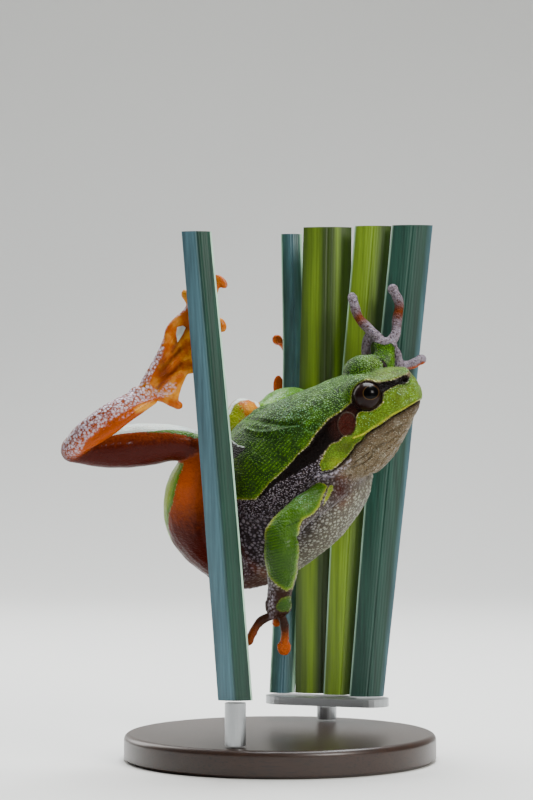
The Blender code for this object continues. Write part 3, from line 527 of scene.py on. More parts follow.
class Part:
    """A limb, digit, palm or web: how far a point is outside it, its share along, its way off."""

    def __init__(self, name, rows, chain, kind, half=0.0):
        self.name, self.chain, self.kind, self.half = name, chain, kind, half
        self.digit = int(name[-1]) if kind == "digit" else None
        self.rows = rows if kind == "web" else along(rows, max(24, 8 * len(rows)))

    def locate(self, points):
        best = np.full(len(points), np.inf)
        share = np.zeros(len(points))
        off = np.zeros((len(points), 3))
        web_gap = self.kind == "web"
        for k, row in enumerate(self.rows):
            gap = points - row[:3]
            away = np.linalg.norm(gap, axis=1) - (0.0 if web_gap else row[3])
            closer = away < best
            best[closer] = away[closer]
            share[closer] = 0.5 if web_gap else k / (len(self.rows) - 1)
            off[closer] = gap[closer]
        if web_gap:
            best = np.maximum(best - 0.35, 0.0) - self.half
        return best, share, off


def fuse(name, forms, voxel):
    """Closed forms joined into one skin."""
    points, faces, base = [], [], 0
    for some, polygons in forms:
        points.append(np.array(some))
        faces += [tuple(v + base for v in f) for f in polygons]
        base += len(some)
    rough = new_object(name + "_rough", np.concatenate(points), faces)
    remesh = rough.modifiers.new("skin", "REMESH")
    remesh.mode = "VOXEL"
    remesh.voxel_size = voxel
    graph = bpy.context.evaluated_depsgraph_get()
    mesh = bpy.data.meshes.new_from_object(rough.evaluated_get(graph))
    bpy.data.objects.remove(rough)
    mesh.name = name
    return mesh


def read_mesh(mesh):
    places = np.empty(len(mesh.vertices) * 3)
    mesh.vertices.foreach_get("co", places)
    edges = np.empty(len(mesh.edges) * 2, dtype=np.int64)
    mesh.edges.foreach_get("vertices", edges)
    return places.reshape(-1, 3), edges.reshape(-1, 2)


def write_mesh(mesh, places):
    mesh.vertices.foreach_set("co", places.ravel())
    mesh.update()


def neighbours_mean(values, edges, count):
    total = np.empty_like(values)
    for axis in range(values.shape[1]):
        column = values[:, axis]
        total[:, axis] = np.bincount(edges[:, 0], column[edges[:, 1]], len(values))
        total[:, axis] += np.bincount(edges[:, 1], column[edges[:, 0]], len(values))
    return total / count


def relax(places, edges, rounds, weight=1.0, pushes=(0.55, -0.57)):
    """Smoothing that keeps the volume: a step in, then a slightly longer step out."""
    count = np.bincount(edges.ravel(), minlength=len(places))[:, None]
    weight = np.broadcast_to(np.reshape(weight, (-1, 1)), (len(places), 1))
    for _ in range(rounds):
        for push in pushes:
            places = places + (neighbours_mean(places, edges, count) - places) * push * weight
    return places


def normals(mesh):
    out = np.empty(len(mesh.vertices) * 3)
    mesh.vertices.foreach_get("normal", out)
    return out.reshape(-1, 3)


def picture(points):
    """Where points in millimetres lie in the picture, in its own units."""
    depth = points[:, 1] - CAMERA[1]
    u = PICTURE[0] / 2 + (points[:, 0] - CAMERA[0]) * FOCUS / depth
    v = PICTURE[1] / 2 - (points[:, 2] - CAMERA[2]) * FOCUS / depth
    return np.column_stack([u, v])


def edge_gaps(corners, uv):
    """Each edge between two corners, and the way from it to each point of the picture."""
    for a, b in zip(corners, corners[1:]):
        way = b - a
        t = np.clip(((uv - a) @ way) / (way @ way), 0.0, 1.0)
        yield a, b, uv - a - t[:, None] * way


def depth_in(outline, uv):
    """How far inside an outline points lie, in millimetres, negative outside it."""
    corners = np.array([*outline, outline[0]], float)
    inside = np.zeros(len(uv), bool)
    nearest = np.full(len(uv), np.inf)
    for a, b, gap in edge_gaps(corners, uv):
        nearest = np.minimum(nearest, np.linalg.norm(gap, axis=1))
        crosses = (a[1] > uv[:, 1]) != (b[1] > uv[:, 1])
        if b[1] != a[1]:
            at = a[0] + (uv[:, 1] - a[1]) * (b[0] - a[0]) / (b[1] - a[1])
            inside ^= crosses & (uv[:, 0] < at)
    return np.where(inside, nearest, -nearest) * UNIT


def line_gap(line, uv):
    """Distance to a line on the picture, in millimetres: positive above it, negative below."""
    nearest = np.full(len(uv), np.inf)
    above = np.ones(len(uv))
    for a, b, gap in edge_gaps(np.array(line, float), uv):
        away = np.linalg.norm(gap, axis=1)
        closer = away < nearest
        nearest[closer] = away[closer]
        way = b - a
        side = np.sign(way[0] * gap[:, 1] - way[1] * gap[:, 0]) * np.sign(way[0])
        above[closer] = -side[closer]
    return nearest * above * UNIT


def spot_gap(at, uv, tall=1.0):
    """Distance to a spot on the picture, in millimetres."""
    return np.linalg.norm((uv - np.array(at)) * (1.0, tall), axis=1) * UNIT


def patch(uv, x, y, wide, tall):
    """A soft patch on the picture: 1 in its middle, 0.37 at its half width and half height."""
    return bell(np.linalg.norm((uv - (x, y)) / (wide, tall), axis=1), 1.0)


# Which way the green of each limb's outer side faces, and how far round it starts.
LIMB_GREEN = {
    "upper_arm_left": ((-0.3, 0.3, 0.9), 0.0),
    "forearm_left": ((-0.5, -0.1, 0.85), 0.2),
    "thigh_right": ((-0.75, 0.65, 0.1), 0.9),
    "shank_right": ((0.0, 0.6, 0.8), -0.55),
    "tarsus_right": ((0.1, 0.95, -0.3), 0.6),
    "thigh_left": ((-0.6, 0.8, 0.0), 0.3),
    "shank_left": ((0.0, -0.3, 0.95), 0.4),
    "tarsus_left": ((0.0, 1.0, 0.0), 0.4),
}
# Among the fields: 'fine' is how much painted sky sheen the green's grains get; others paint shade into
# the green, its furrows and creases, and painted sheen and highlights onto it.
FIELDS = ("green", "edge", "dark", "orange", "red", "lilac", "brown", "disc", "white", "belly",
          "throat", "web", "grain", "fine", "shine", "lip", "drum", "crease", "pale", "bright",
          "bloom", "pepper", "rows", "phase", "deep")


def nearest_line(lines, uv):
    return np.min([np.abs(line_gap(line, uv)) for line in lines], axis=0)


def bloom(uv):
    """Painted bluish sheen where the light strikes the snout, the cheek, the upper arm and the back."""
    return np.minimum(sum(patch(uv, *place) for place in SHEEN_PATCHES), 1.0)


def armpit(uv):
    """The dark brown patch of skin behind the right arm."""
    return 0.9 * patch(uv, *ARMPIT)


def paint_body(uv, own_uv, along_body, aside, angle, facing):
    """Markings of the trunk and head, and the light and shade painted on them, on the mirrored right
    side.
    """
    back, side = depth_in(BACK_GREEN, uv), depth_in(SIDE_GREEN, uv)
    stripe, mouth = depth_in(STRIPE, uv), line_gap(MOUTH, uv)
    throat = step_up(along_body, -1.5, 1.5)
    rear = step_up(-along_body, *RUMP_FROM)
    pit = armpit(uv)
    crown = patch(uv, *CROWN)
    fold = bell(line_gap(JAW_FOLD, uv), 0.45)
    in_lobe = step_up(-uv[:, 0], *LOBE_FROM)
    lobe = in_lobe * step_up(side, 0.0, 0.3)
    # Painted shadow in the gap between the rump and the thigh, on the near side only.
    rump_shadow = depth_in(RUMP_SHADOW, uv) - 3 * step_up(-facing, -0.3, 0.1)
    rump_shadow = np.where(aside < 0, rump_shadow, -3.0)
    far_lid = np.where((aside > 0) & (along_body > 0), 2.9 - spot_gap(FAR_LID_AT, own_uv), -3.0)
    green = np.maximum(np.maximum(back, side), far_lid)
    dark = np.minimum(stripe, back + 0.6 + 2.6 * step_up(uv[:, 0], *STRIPE_FADE))
    lip = 0.12 * np.maximum(step_up(side, 0.1, 0.6), crown)
    lip = np.maximum(bell(line_gap(UPPER_LIP, uv) - 0.08, 0.13), lip)
    bare = np.where(green < 0.1, 0.35 + 0.65 * (1 - throat), 0.0)
    # How much painted sky sheen the green grains get: none along the groove of the back fold, which
    # leaves a painted shade line there, and less near the mouth, on the crown and on the side of the
    # head; more on the upper back.
    fine = 1 - 0.95 * np.maximum(bell(line_gap(BACK_FOLD, uv), 0.5), bell(mouth - 0.6, 0.7))
    fine *= (1 - 0.6 * crown) * (1 + 0.7 * patch(uv, *SHEEN))
    fine *= 1 - step_up(side, 0.0, 0.4) * (0.25 + 0.6 * in_lobe)
    return {
        "green": green,
        "edge": (0.35 + 0.65 * step_up(-along_body, -14.0, -11.5)) * (far_lid < -1.0),
        "dark": np.minimum(np.maximum(dark, rump_shadow + 0.15), -far_lid),
        "orange": np.maximum(rear * 0.85 * step_up(-angle, -0.5, 0.3), 0.8 * pit),
        "red": np.maximum(rear, pit),
        "lilac": 0.6 * fold,
        # Below the mouth the throat's brown is painted shadow of the jaw; behind the arm it is the
        # skin's own brown.
        "brown": np.maximum(0.3 * pit, 0.38 * bell(np.maximum(-mouth, 0) - 0.5, 0.7) * throat),
        # A painted highlight along the rump's edge.
        "white": bell(line_gap(RUMP_LINE, uv), 0.13) * (aside < 0) * step_up(facing, -0.3, 0.0),
        "belly": step_up(-angle, 0.15, 0.75) * (1 - throat),
        "throat": throat,
        "grain": np.maximum(bare, 0.6 * fold),
        "fine": fine,
        "shine": 0.35 + 0.15 * step_up(side, 0.0, 0.5),
        "lip": np.maximum(lip, 0.35 * lobe * patch(uv, *LOBE_YELLOW)),
        "drum": EARDRUM_RADIUS - spot_gap(EARDRUM_AT, uv, EARDRUM_TALL),
        # Painted shade in the mouth line and in the nostril, then painted blue-green sheen.
        "crease": np.maximum(bell(mouth + 0.05, 0.24), bell(spot_gap(NOSTRIL_AT, uv), 0.34)),
        "bloom": bloom(uv),
        "pepper": 1 - step_up(-stripe, 1.6, 4.2),
        # Painted shade between the rows of bumps low on the back, and on the upper jaw lobe.
        "rows": (step_up(back, 0.3, 0.8) * (1 - step_up(back, 7.0, 11.0))
                 * (1 - step_up(along_body, -3.0, 1.0))),
        "phase": back * 13.0,
        "deep": 0.95 * lobe * patch(uv, *LOBE_SHADE)}


def paint_right_arm(f, part, at):
    """The near arm: green outside, reddish brown inside, dark brown at the wrist and hand."""
    across, down = at.uv.T
    greens = np.array([depth_in(outline, at.uv) for outline in (ARM_GREEN, ARM_STRIP, HAND_PATCH)])
    green = np.minimum(greens.max(axis=0), 0.9 + at.front)
    low = step_up(down, *FOREARM_LOW)
    # Painted shade: darker green low on the forearm, in the furrows across it and in the elbow fold;
    # little painted sky sheen, and painted blue-green sheen high on the arm.
    deep = (0.45 + 0.3 * low) * step_up(green, 0.1, 0.7)
    f.update(
        green=green, edge=np.where(greens.argmax(axis=0) == 2, 0.0, 0.4), shine=0.65, fine=0.15,
        rows=0.9 * (1 - step_up(across, *FURROWS_ACROSS)) * step_up(down, *FURROWS_FROM),
        phase=2.2 * down + 0.5 * across, bloom=bloom(at.uv), grain=0.7, belly=0.25, brown=0.3,
        deep=np.maximum(deep, 0.9 * bell(line_gap(ELBOW_FOLD, at.uv), 0.22)),
        lip=0.35 * bell(green - 0.05, 0.22) * (1 - 0.7 * low), orange=0.8 * armpit(at.uv), red=1.0)
    if part.name == "forearm_right" or "hand" in part.name:
        brown = step_up(at.share, 0.55, 0.8) if part.kind == "limb" else 1.0
        # The hand's green gets painted shade.
        f.update(grain=1.0, brown=brown, lilac=0.5 * brown * bell(across - WRIST_SPECKS, 3.5),
                 deep=np.where(down > HAND_TOP, 0.75, f["deep"]))
    if part.kind == "digit":
        f.update(disc=step_up(at.share, 0.45, 0.95) * (0.35 if part.digit == 0 else 0.85),
                 red=0.6 * step_up(at.share, 0.8, 1.0), lilac=0.0)
        if part.digit in (2, 3):
            f["green"] = -3.0


def paint_left_arm(f, part, at):
    """The far arm, and its pale hand with darker finger joints."""
    mark = depth_in(LEFT_HAND_PATCH, at.uv)
    if part.kind == "limb":
        f.update(green=np.maximum(f["green"], mark), edge=0.1, lilac=0.4, shine=0.5)
        return
    f.update(green=np.minimum(mark, 0.6 + at.front), pale=0.85, brown=1.0)
    if part.kind == "digit":
        middle = bell(at.share - 0.62, 0.17) * (part.digit in (1, 2))
        below = step_up(-at.upward, 0.1, 0.7) * step_up(at.share, 0.6, 0.8) * (part.digit == 3)
        f.update(pale=0.85 - 0.85 * np.maximum(middle, below) - 0.3 * (part.digit == 0),
                 disc=0.3 * middle + 0.75 * below)


def paint_knee(f, at):
    """The bent knee in front of the trunk: yellowish green with a painted highlight along its rim, and
    an orange spot.
    """
    near = at.seen * (at.uv[:, 0] < KNEE_END)
    knee = patch(at.uv, *KNEE) * near
    yellow = 0.152 * (1.305 - spot_gap(KNEE_YELLOW_AT, at.uv, 0.6))
    # No painted sky sheen on the knee; painted blue-green sheen on the leg beyond it.
    f.update(
        white=0.75 * bell(line_gap(KNEE_HIGHLIGHT, at.uv) + 0.22, 0.34) * near, lip=0.5 * knee, edge=0.15,
        bright=0.8 * patch(at.uv, *KNEE_ORANGE) * near, fine=1 - np.minimum(1.4 * knee, 1.0),
        bloom=0.6 * (at.uv[:, 0] > KNEE_END) * at.seen, green=np.where(near > 0.3, yellow, f["green"]))


def paint_right_foot(f, at):
    """The raised foot: pale grains along its edges, dark folds in the web, orange web edges."""
    rim = line_gap(FOOT_RIM, at.uv)
    grain = np.maximum(step_up(depth_in(GRANULES, at.uv), -0.1, 0.25), bell(rim, 0.3))
    top = bell(line_gap(TARSUS_TOP, at.uv), 2.0)
    edge = 0.8 * bell(line_gap(TARSAL_EDGE, at.uv), 0.22) * (at.front > 0)
    pale = np.maximum(grain * (0.5 + 0.5 * top), bell(rim, 0.35))
    folds = np.maximum(bell(nearest_line(FOOT_FOLDS, at.uv), 0.5), patch(at.uv, *WEB_HEART)) * 0.8
    # The white patch in the web is a painted highlight on a wet fold.
    f.update(
        grain=grain, lilac=np.maximum(pale, edge), brown=0.35 * grain * top,
        red=np.maximum(0.4 * grain * top, 0.75 * folds), web=f["web"] * (1 - folds),
        bright=np.maximum(0.8 * step_up(depth_in(FOLD_BRIGHT, at.uv), -0.3, 0.4),
                          0.7 * bell(line_gap(WEB_EDGE, at.uv), 0.4)),
        white=step_up(depth_in(WEB_HIGHLIGHT, at.uv), -0.05, 0.1))


def paint_toe(f, part, at):
    """A dark disc at the toe's end; the raised foot's fifth toe ends bright."""
    tip = step_up(at.share, 0.84, 0.95)
    fifth = part.digit == 4
    f["disc"] = tip * (1 - 0.8 * fifth)
    if part.chain == "leg_right":
        f["bright"] = np.maximum(f["bright"], 0.8 * tip * fifth)
        # Painted highlights along the rims of the toe discs.
        f["white"] = np.maximum(f["white"], tip * bell(nearest_line(TOE_RIMS, at.uv), 0.22))
    for name, lost in (("lilac", 0.5), ("grain", 1.0), ("brown", 1.0)):
        f[name] = f[name] * (1 - lost * tip)


def paint_leg(f, part, at):
    """Legs, feet and webs, from orange where they are hidden at rest to green outside."""
    f.update(orange=1.0, shine=0.7)
    if part.name.startswith("thigh"):
        f.update(red=0.45 + 0.45 * step_up(-at.upward, -0.2, 0.8), edge=0.25)
    if part.name == "thigh_right":
        hidden = step_up(at.uv[:, 0], *THIGH_HIDDEN)
        green = np.maximum(f["green"] - 0.8, depth_in(THIGH_GREEN, at.uv))
        f.update(green=green, orange=1 - 0.7 * hidden, fine=0.8 * (1 - at.seen),
                 red=np.maximum(0.8 * step_up(at.uv[:, 1], *THIGH_LOW) + 0.12, hidden),
                 lip=0.3 * step_up(green, 0.1, 0.9) * at.seen)
    elif part.name == "shank_right":
        # The white along the top ridge of the shank is a painted highlight, and so is the lilac line
        # low along its front.
        over = at.turn - 54 + 14 * step_up(at.share, 0.1, 0.5)
        f.update(green=f["green"] - 1.3 * at.share - 0.1, fine=0.08, edge=0.0,
                 white=(step_up(over, -2, 5) * step_up(-at.turn, -102, -93)
                        * step_up(at.share, 0.06, 0.14)),
                 red=0.4 + 0.6 * step_up(-at.upward, -0.95, 0.6),
                 lilac=0.6 * bell(line_gap(SHANK_HIGHLIGHT, at.uv), 0.12) * (at.front > 0))
    elif part.name in ("shank_left", "thigh_left"):
        paint_knee(f, at)
    elif part.name == "tarsus_left":
        f.update(lilac=0.7, grain=1.0)
    elif part.name == "tarsal_fold_right":
        f.update(red=0.15, shine=1.0)
    elif part.kind == "web":
        f.update(web=1.0, shine=1.0, red=0.12)
    elif part.kind in ("digit", "pad"):
        lilac = 0.75 * (1 - step_up(at.share, 0.35, 0.95)) * step_up(at.towards, -0.4, 0.5)
        above = 0.8 * step_up(at.upward, 0.45, 0.95) * (at.share > 0.05)
        f.update(lilac=np.maximum(lilac, above), fine=0.4,
                 grain=0.9 * (1 - step_up(at.share, 0.55, 0.9)) * step_up(at.towards, -0.6, 0.3))
    if part.chain == "leg_right" and not part.name.startswith(("thigh", "shank")):
        paint_right_foot(f, at)
    if part.kind == "digit":
        paint_toe(f, part, at)


def paint_limb(part, uv, share, off):
    """Markings of a limb, finger, toe, palm or web."""
    f = dict.fromkeys(FIELDS, 0.0)
    f.update(green=-3.0, dark=-3.0, drum=-3.0)
    if part.name in LIMB_GREEN:
        way, start = LIMB_GREEN[part.name]
        f.update(green=off @ np.array(way) - start, edge=1.0)
    size = np.linalg.norm(off, axis=1) + 1e-6
    at = SimpleNamespace(uv=uv, share=share, front=-off[:, 1], upward=off[:, 2] / size)
    at.towards = at.front / size
    at.seen = step_up(at.towards, -0.5, 0.1)
    at.turn = np.degrees(np.arctan2(off[:, 2], at.front))
    painters = {"arm_right": paint_right_arm, "arm_left": paint_left_arm}
    painters.get(part.chain, paint_leg)(f, part, at)
    return f


def chain_of(name, arm):
    return ("arm_" if arm in name else "leg_") + name.rsplit("_", 1)[1]


def frog_forms(look):
    """The closed forms of the whole frog, and the parts that carry its markings."""
    body = Body()
    forms = [body.form()]
    for side in (1, -1):
        forward, left, up = np.array(EYE) + EYE_MOUND_FROM_EYE[side]
        forms.append(ball(head_place(forward, side * left, up), EYE_MOUND, HEAD_AXES))
    parts = []
    for name, rows in LIMBS.items():
        forms.append(limb(rows, LIMB_SIDE.get(name, (0.0, 1.0, 0.0))))
        parts.append(Part(name, rows, chain_of(name, "arm"), "limb"))
    half = look.web_thickness / 2 / MM
    for name, paw in PAWS.items():
        chain = chain_of(name, "hand")
        palm, digits = paw["palm"], paw["digits"]
        forms.append(ball(palm, paw["pad"]))
        size = float(np.mean(paw["pad"]))
        ends = [(*palm, size, size), (*(np.array(palm) + 0.1), size, size)]
        parts.append(Part(name + "_pad", ends, chain, "pad"))
        for k, (path, disc) in enumerate(zip(digits, paw["discs"])):
            rows = digit_rows(palm, path, paw.get("thick", 1.0))
            ahead = unit(np.array(path[-1]) - np.array(path[-2] if len(path) > 1 else palm))
            face = np.array(paw["face"], float)
            face = unit(face - ahead * (ahead @ face))
            forms.append(limb(rows, face, 16))
            forms.append(ball(path[-1], (*disc, DISC_HALF), (np.cross(ahead, face), ahead, face)))
            parts.append(Part(f"{name}_digit_{k}", rows, chain, "digit"))
        paths = [along([palm] + path, 41) for path in digits]
        for k, (a, b, reach) in enumerate(zip(paths, paths[1:], paw["webs"])):
            edges = [edge[:int(41 * reach):4] for edge in (a, b)]
            forms.append(web(*edges, paw["hollow"], half))
            rows, _ = web_rows(*edges, paw["hollow"], 12, 7)
            parts.append(Part(f"{name}_web_{k}", rows, chain, "web", half))
    return body, forms, parts


def from_eye(local):
    """The way to each point from the middle of the eye on its side of the head."""
    return np.column_stack([local[:, 0], np.abs(local[:, 1]), local[:, 2]]) - np.array(EYE)


def lids(places, local):
    """Opens the skin over each eye, with a rim that lies on the eyeball."""
    gap = from_eye(local)
    away = np.linalg.norm(gap, axis=1) + 1e-9
    turn = np.empty(len(places))
    opening = np.empty(len(places))
    for side, (gaze, half_angle) in EYE_OPENINGS.items():
        here = local[:, 1] * side >= 0
        turn[here] = np.degrees(np.arccos(np.clip(gap[here] @ unit(gaze) / away[here], -1, 1)))
        opening[here] = half_angle
    near = (away < 5.0) & (np.abs(local[:, 1]) > 0.3)
    upper = step_up(gap[:, 2] / away, -0.3, 0.6)
    rim = EYE_RADIUS + 0.16 + 0.16 * upper
    out = step_up(turn, opening + 3, opening + 48)
    outer = rim + (away - rim) * out
    outer = outer + 0.13 * bell(turn - opening - 13, 7.0) * (0.5 + upper)
    outer = outer - 0.10 * bell(turn - opening - 27, 8.0)
    inner = EYE_RADIUS * 0.84
    wanted = inner + (outer - inner) * step_up(turn, opening - 5, opening + 3)
    wanted = np.where(near, wanted, away)
    fade = step_up(away, 3.6, 4.8)
    wanted = wanted * (1 - fade) + away * fade
    side = np.where(local[:, 1] < 0, -1.0, 1.0)
    move = gap * (wanted / away - 1.0)[:, None]
    move[:, 1] *= side
    return places + move @ HEAD_AXES


def noise_on(points):
    return np.array([noise.noise(Vector(p)) for p in points])


def point_values(mesh, name, values):
    """One number for each point, for a material to read by its name."""
    layer = mesh.attributes.new(name, "FLOAT", "POINT")
    layer.data.foreach_set("value", values.astype(np.float32))


def pebbles(places, grain, size):
    """Height of the skin's pebbles, 0 in the grooves to 1 on top, where there is grain."""
    high = np.zeros(len(places))
    for i in np.nonzero(grain > 0.04)[0]:
        near = noise.voronoi(Vector(places[i] / size[i]), distance_metric="DISTANCE")[0]
        high[i] = min(1.0, (near[1] - near[0]) * 1.1) * max(0.0, 1.0 - 0.55 * near[0])
        high[i] += 0.25 * (near[0] < 0.3)
    return np.minimum(high * 1.25, 1.0)


def shape_skin(look):
    """The frog's whole skin in millimetres, with its markings as attributes."""
    body, forms, parts = frog_forms(look)
    voxel = look.skin_detail / MM
    mesh = fuse("frog_skin", forms, voxel)
    places, edges = read_mesh(mesh)
    places = relax(places, edges, 4)
    local = (places - HEAD_BASE) @ HEAD_AXES.T
    places = lids(places, local)
    along_body, aside, outside, angle, mirrored = body.locate(places)
    count = len(places)
    gaps = np.full((len(parts) + 1, count), FAR, np.float32)
    gaps[0] = outside
    kept = []
    for k, part in enumerate(parts):
        rows = part.rows[:, :3]
        near = (places > rows.min(axis=0) - REACH) & (places < rows.max(axis=0) + REACH)
        here = np.nonzero(near.all(axis=1))[0]
        away, share, off = part.locate(places[here])
        gaps[k + 1, here] = away
        kept.append((here, share, off))

    # Softer where a limb grows out of the body or one limb bends into the next.
    two = np.sort(gaps, axis=0)[:2]
    owner = gaps.argmin(axis=0)
    joining = bell(two[1] - two[0], JOINT)
    thin = np.isin(owner, [k for k, part in enumerate(parts, 1) if part.kind in ("digit", "web")])
    places = relax(places, edges, 26 if voxel < 0.2 else 8, joining * np.where(thin, 0.25, 1.0),
                   (0.6, -0.5))
    write_mesh(mesh, places)

    uv = picture(mirrored)
    own_uv = picture(places)
    local = (places - HEAD_BASE) @ HEAD_AXES.T
    nearness = np.exp(-(gaps - gaps.min(axis=0)) / BLEND)
    shares = nearness / nearness.sum(axis=0)
    share_body = shares[0]
    out = normals(mesh)

    trunk = paint_body(uv, own_uv, along_body, aside, angle, -out[:, 1])
    fields = {name: np.zeros(count) + trunk.get(name, 0.0) * share_body for name in FIELDS}
    for weights, part, (here, share, off) in zip(shares[1:], parts, kept):
        painted = paint_limb(part, own_uv[here], share, off)
        for name, values in painted.items():
            fields[name][here] += values * weights[here]

    # Lines of the head and the folds of the back and throat.
    mouth = line_gap(MOUTH, uv)
    in_mouth = step_up(along_body, 0.3, 1.6)
    move = 0.16 * bell(mouth - 0.5, 0.35) + 0.10 * bell(mouth + 0.6, 0.4) - 0.34 * bell(mouth, 0.22)
    move *= in_mouth
    drum = spot_gap(EARDRUM_AT, uv, EARDRUM_TALL)
    move += 0.18 * bell(drum - EARDRUM_RADIUS, 0.2) - 0.16 * bell(drum, EARDRUM_RADIUS * 0.8)
    nostril = spot_gap(NOSTRIL_AT, uv)
    move += 0.12 * bell(nostril - 0.55, 0.25) - 0.4 * bell(nostril, 0.3)
    for line, height, width, below in RIDGES:
        move += height * bell(line_gap(line, uv) + below, width)
    move *= share_body

    # Loose skin: low swells everywhere, creases across the arms, pebbles where it is granular.
    head = step_up(along_body, 2.0, 4.0) * share_body
    move += 0.10 * noise_on(places / 2.1) * np.where(thin, 0.35, 1.0) * (1 - 0.7 * head)
    loose = fields["throat"] * share_body * step_up(-fields["green"], 0.2, 0.8)
    loose *= step_up(-mouth, 0.6, 1.6)
    move -= 0.30 * loose * bell(noise_on(local * (0.28, 0.5, 0.9)), 0.09)
    arm = [k for k, part in enumerate(parts, 1) if "arm_right" in part.name]
    arm = np.clip(nearness[arm].sum(axis=0), 0, 1)
    move += 0.13 * arm * np.abs(noise_on(places * (0.7, 0.7, 2.9))) - 0.04 * arm
    places = places + out * move[:, None]
    write_mesh(mesh, places)
    grain = np.clip(fields["grain"], 0, 1)
    high = np.zeros(count)
    on_body = share_body > 0.5
    high = pebbles(places, grain, np.where(on_body, look.belly_pebble, look.leg_pebble) / MM)
    rise = np.where(on_body, *PEBBLE_HEIGHT) * grain * (high - 0.4)
    places = places + normals(mesh) * rise[:, None]
    write_mesh(mesh, places * MM)
    eye_gap = np.linalg.norm(from_eye(local), axis=1)
    fields["pebble"] = high
    # Painted shade in the socket round each eye, where the skin meets the eyeball.
    fields["socket"] = bell(np.maximum(eye_gap - EYE_RADIUS - 0.05, 0), 0.16)
    for name, values in fields.items():
        point_values(mesh, name, values)
    mesh.shade_smooth()
    return mesh


def from_hex(code):
    """An sRGB hex colour as linear red, green and blue."""
    values = [int(code[i:i + 2], 16) / 255 for i in (0, 2, 4)]
    return [v / 12.92 if v <= 0.04045 else ((v + 0.055) / 1.055) ** 2.4 for v in values]


def colour(name, code, text):
    return bpy.props.FloatVectorProperty(
        name=name, description=text, default=from_hex(code), size=3, subtype="COLOR", min=0, max=1)


def length(name, default_mm, text):
    return bpy.props.FloatProperty(
        name=name, description=text, default=default_mm * MM, unit="LENGTH", subtype="DISTANCE",
        precision=5, min=0.00001)


class FrogLook(bpy.types.PropertyGroup):
    """Sizes and colours of the frog."""
    skin_detail: length("Skin detail", 0.13, "Spacing of the points of the skin")
    web_thickness: length("Web thickness", 0.5, "Thickness of the webs between the toes")
    belly_pebble: length("Belly pebble", 0.58, "Width of one pebble of the belly and flank skin")
    leg_pebble: length("Leg pebble", 0.45, "Width of one pebble of the leg and wrist skin")
    green: colour("Green", "609409", "Back, head and arms")
    # Deep green is the green's own darker tone between its grains and towards its edges, and also
    # painted shade in its furrows and folds, low on the forearm, on the hand and on the jaw lobe.
    deep_green_and_shade: colour("Deep green", "1A3606", "Green skin in its grooves and low on the flank")
    # Painted sheen of the sky on the upward-facing grains of the back.
    sky_sheen: colour("Frost", "B4CFC4", "Pale bloom on the fine grains of the back")
    # Painted blue-green sheen where the light strikes.
    bloom: colour("Bloom", "7FC9A2", "Blue-green bloom of snout, cheek and upper arm")
    pale: colour("Far hand", "9C919E", "Fingers of the far hand")
    cream: colour("Cream line", "D6CE96", "Line along the edges of the green")
    rim: colour("Green rim", "7E8F12", "Yellowish green along the edges of the green")
    lip: colour("Lip line", "B9BC2A", "Yellow line along the upper lip")
    # The stripe's colour also paints shade in the mouth line, the nostril, round the eyes and in the
    # gap between rump and thigh.
    stripe: colour("Side stripe", "0D0605", "Dark stripe from nostril to flank")
    eardrum: colour("Eardrum", "44231C", "Round eardrum in the stripe")
    flank: colour("Flank", "231B1E", "Ground colour of the flank")
    flank_grain: colour("Flank grains", "968C95", "Tops of the pebbles on the flank")
    belly: colour("Belly", "5C564B", "Ground colour of the belly")
    belly_grain: colour("Belly grains", "9EA090", "Tops of the pebbles on the belly")
    # The throat's colour also paints a highlight on the eardrum's upper rim.
    throat: colour("Throat", "A39C8A", "Throat and lower jaw")
    throat_spots: colour("Throat mottling", "665843", "Darker mottling of the throat")
    orange: colour("Orange", "9A4000", "Thighs, shanks, folds and toes")
    red_brown: colour("Red brown", "3D0D04", "Undersides of the legs")
    web: colour("Web", "B85E00", "Webs between the toes")
    web_light: colour("Web, thin parts", "DD9A2E", "Thin stretched parts of the webs")
    # Lilac also paints a highlight line low along the shank.
    lilac: colour("Lilac", "C9C0CE", "Pale grains of feet and of the far hand")
    # Brown also paints the shadow of the jaw on the throat.
    brown: colour("Brown", "2A150B", "Fingers and wrist")
    disc: colour("Disc", "A84A06", "Discs of the fingers and toes")
    # Painted highlights: along the top of the shank, on the rims of the knee, the rump and the toe
    # discs, and on a fold of the web.
    white: colour("White", "C6D0CA", "White stripe of the shank")


class EyeLook(bpy.types.PropertyGroup):
    """Sizes and colours of the eyes."""
    pupil_width: length("Pupil width", 2.3, "Width of the pupil along the head")
    pupil_height: length("Pupil height", 1.9, "Height of the pupil")
    iris: colour("Iris", "1A0C0A", "Dark iris")
    gold: colour("Gold ring", "4A3518", "Ring round the pupil")
    pupil: colour("Pupil", "010102", "Pupil")


class ReedLook(bpy.types.PropertyGroup):
    """Sizes and colours of the blades."""
    vein_spacing: length("Vein spacing", 0.42, "Distance between the fine veins")
    slate: colour("Slate green", "456873", "Front blade")
    # Painted shade on the front blade's right part and near the right edge of the back right blade.
    shaded_slate: colour("Dark slate green", "0F3A2C", "Shaded third of the front blade")
    edge: colour("Pale edge", "B5DCC2", "Bright edge of a blade")
    olive: colour("Olive green", "33480A", "Wide back blade")
    yellow_green: colour("Yellow green", "6C8A14", "Light streaks of the back blades")
    blue_green: colour("Blue green", "234A3E", "Right back blade")


class StandLook(bpy.types.PropertyGroup):
    """Colours of the stand and the studio."""
    wood: colour("Wood", "3A2418", "Dark oiled walnut of the base")
    wood_grain: colour("Wood grain", "1E120C", "Pores of the walnut")
    steel: colour("Steel", "A7A9AB", "Brushed steel of the rods")
    floor: colour("Floor", "E4E3DF", "Floor and backdrop of the studio")


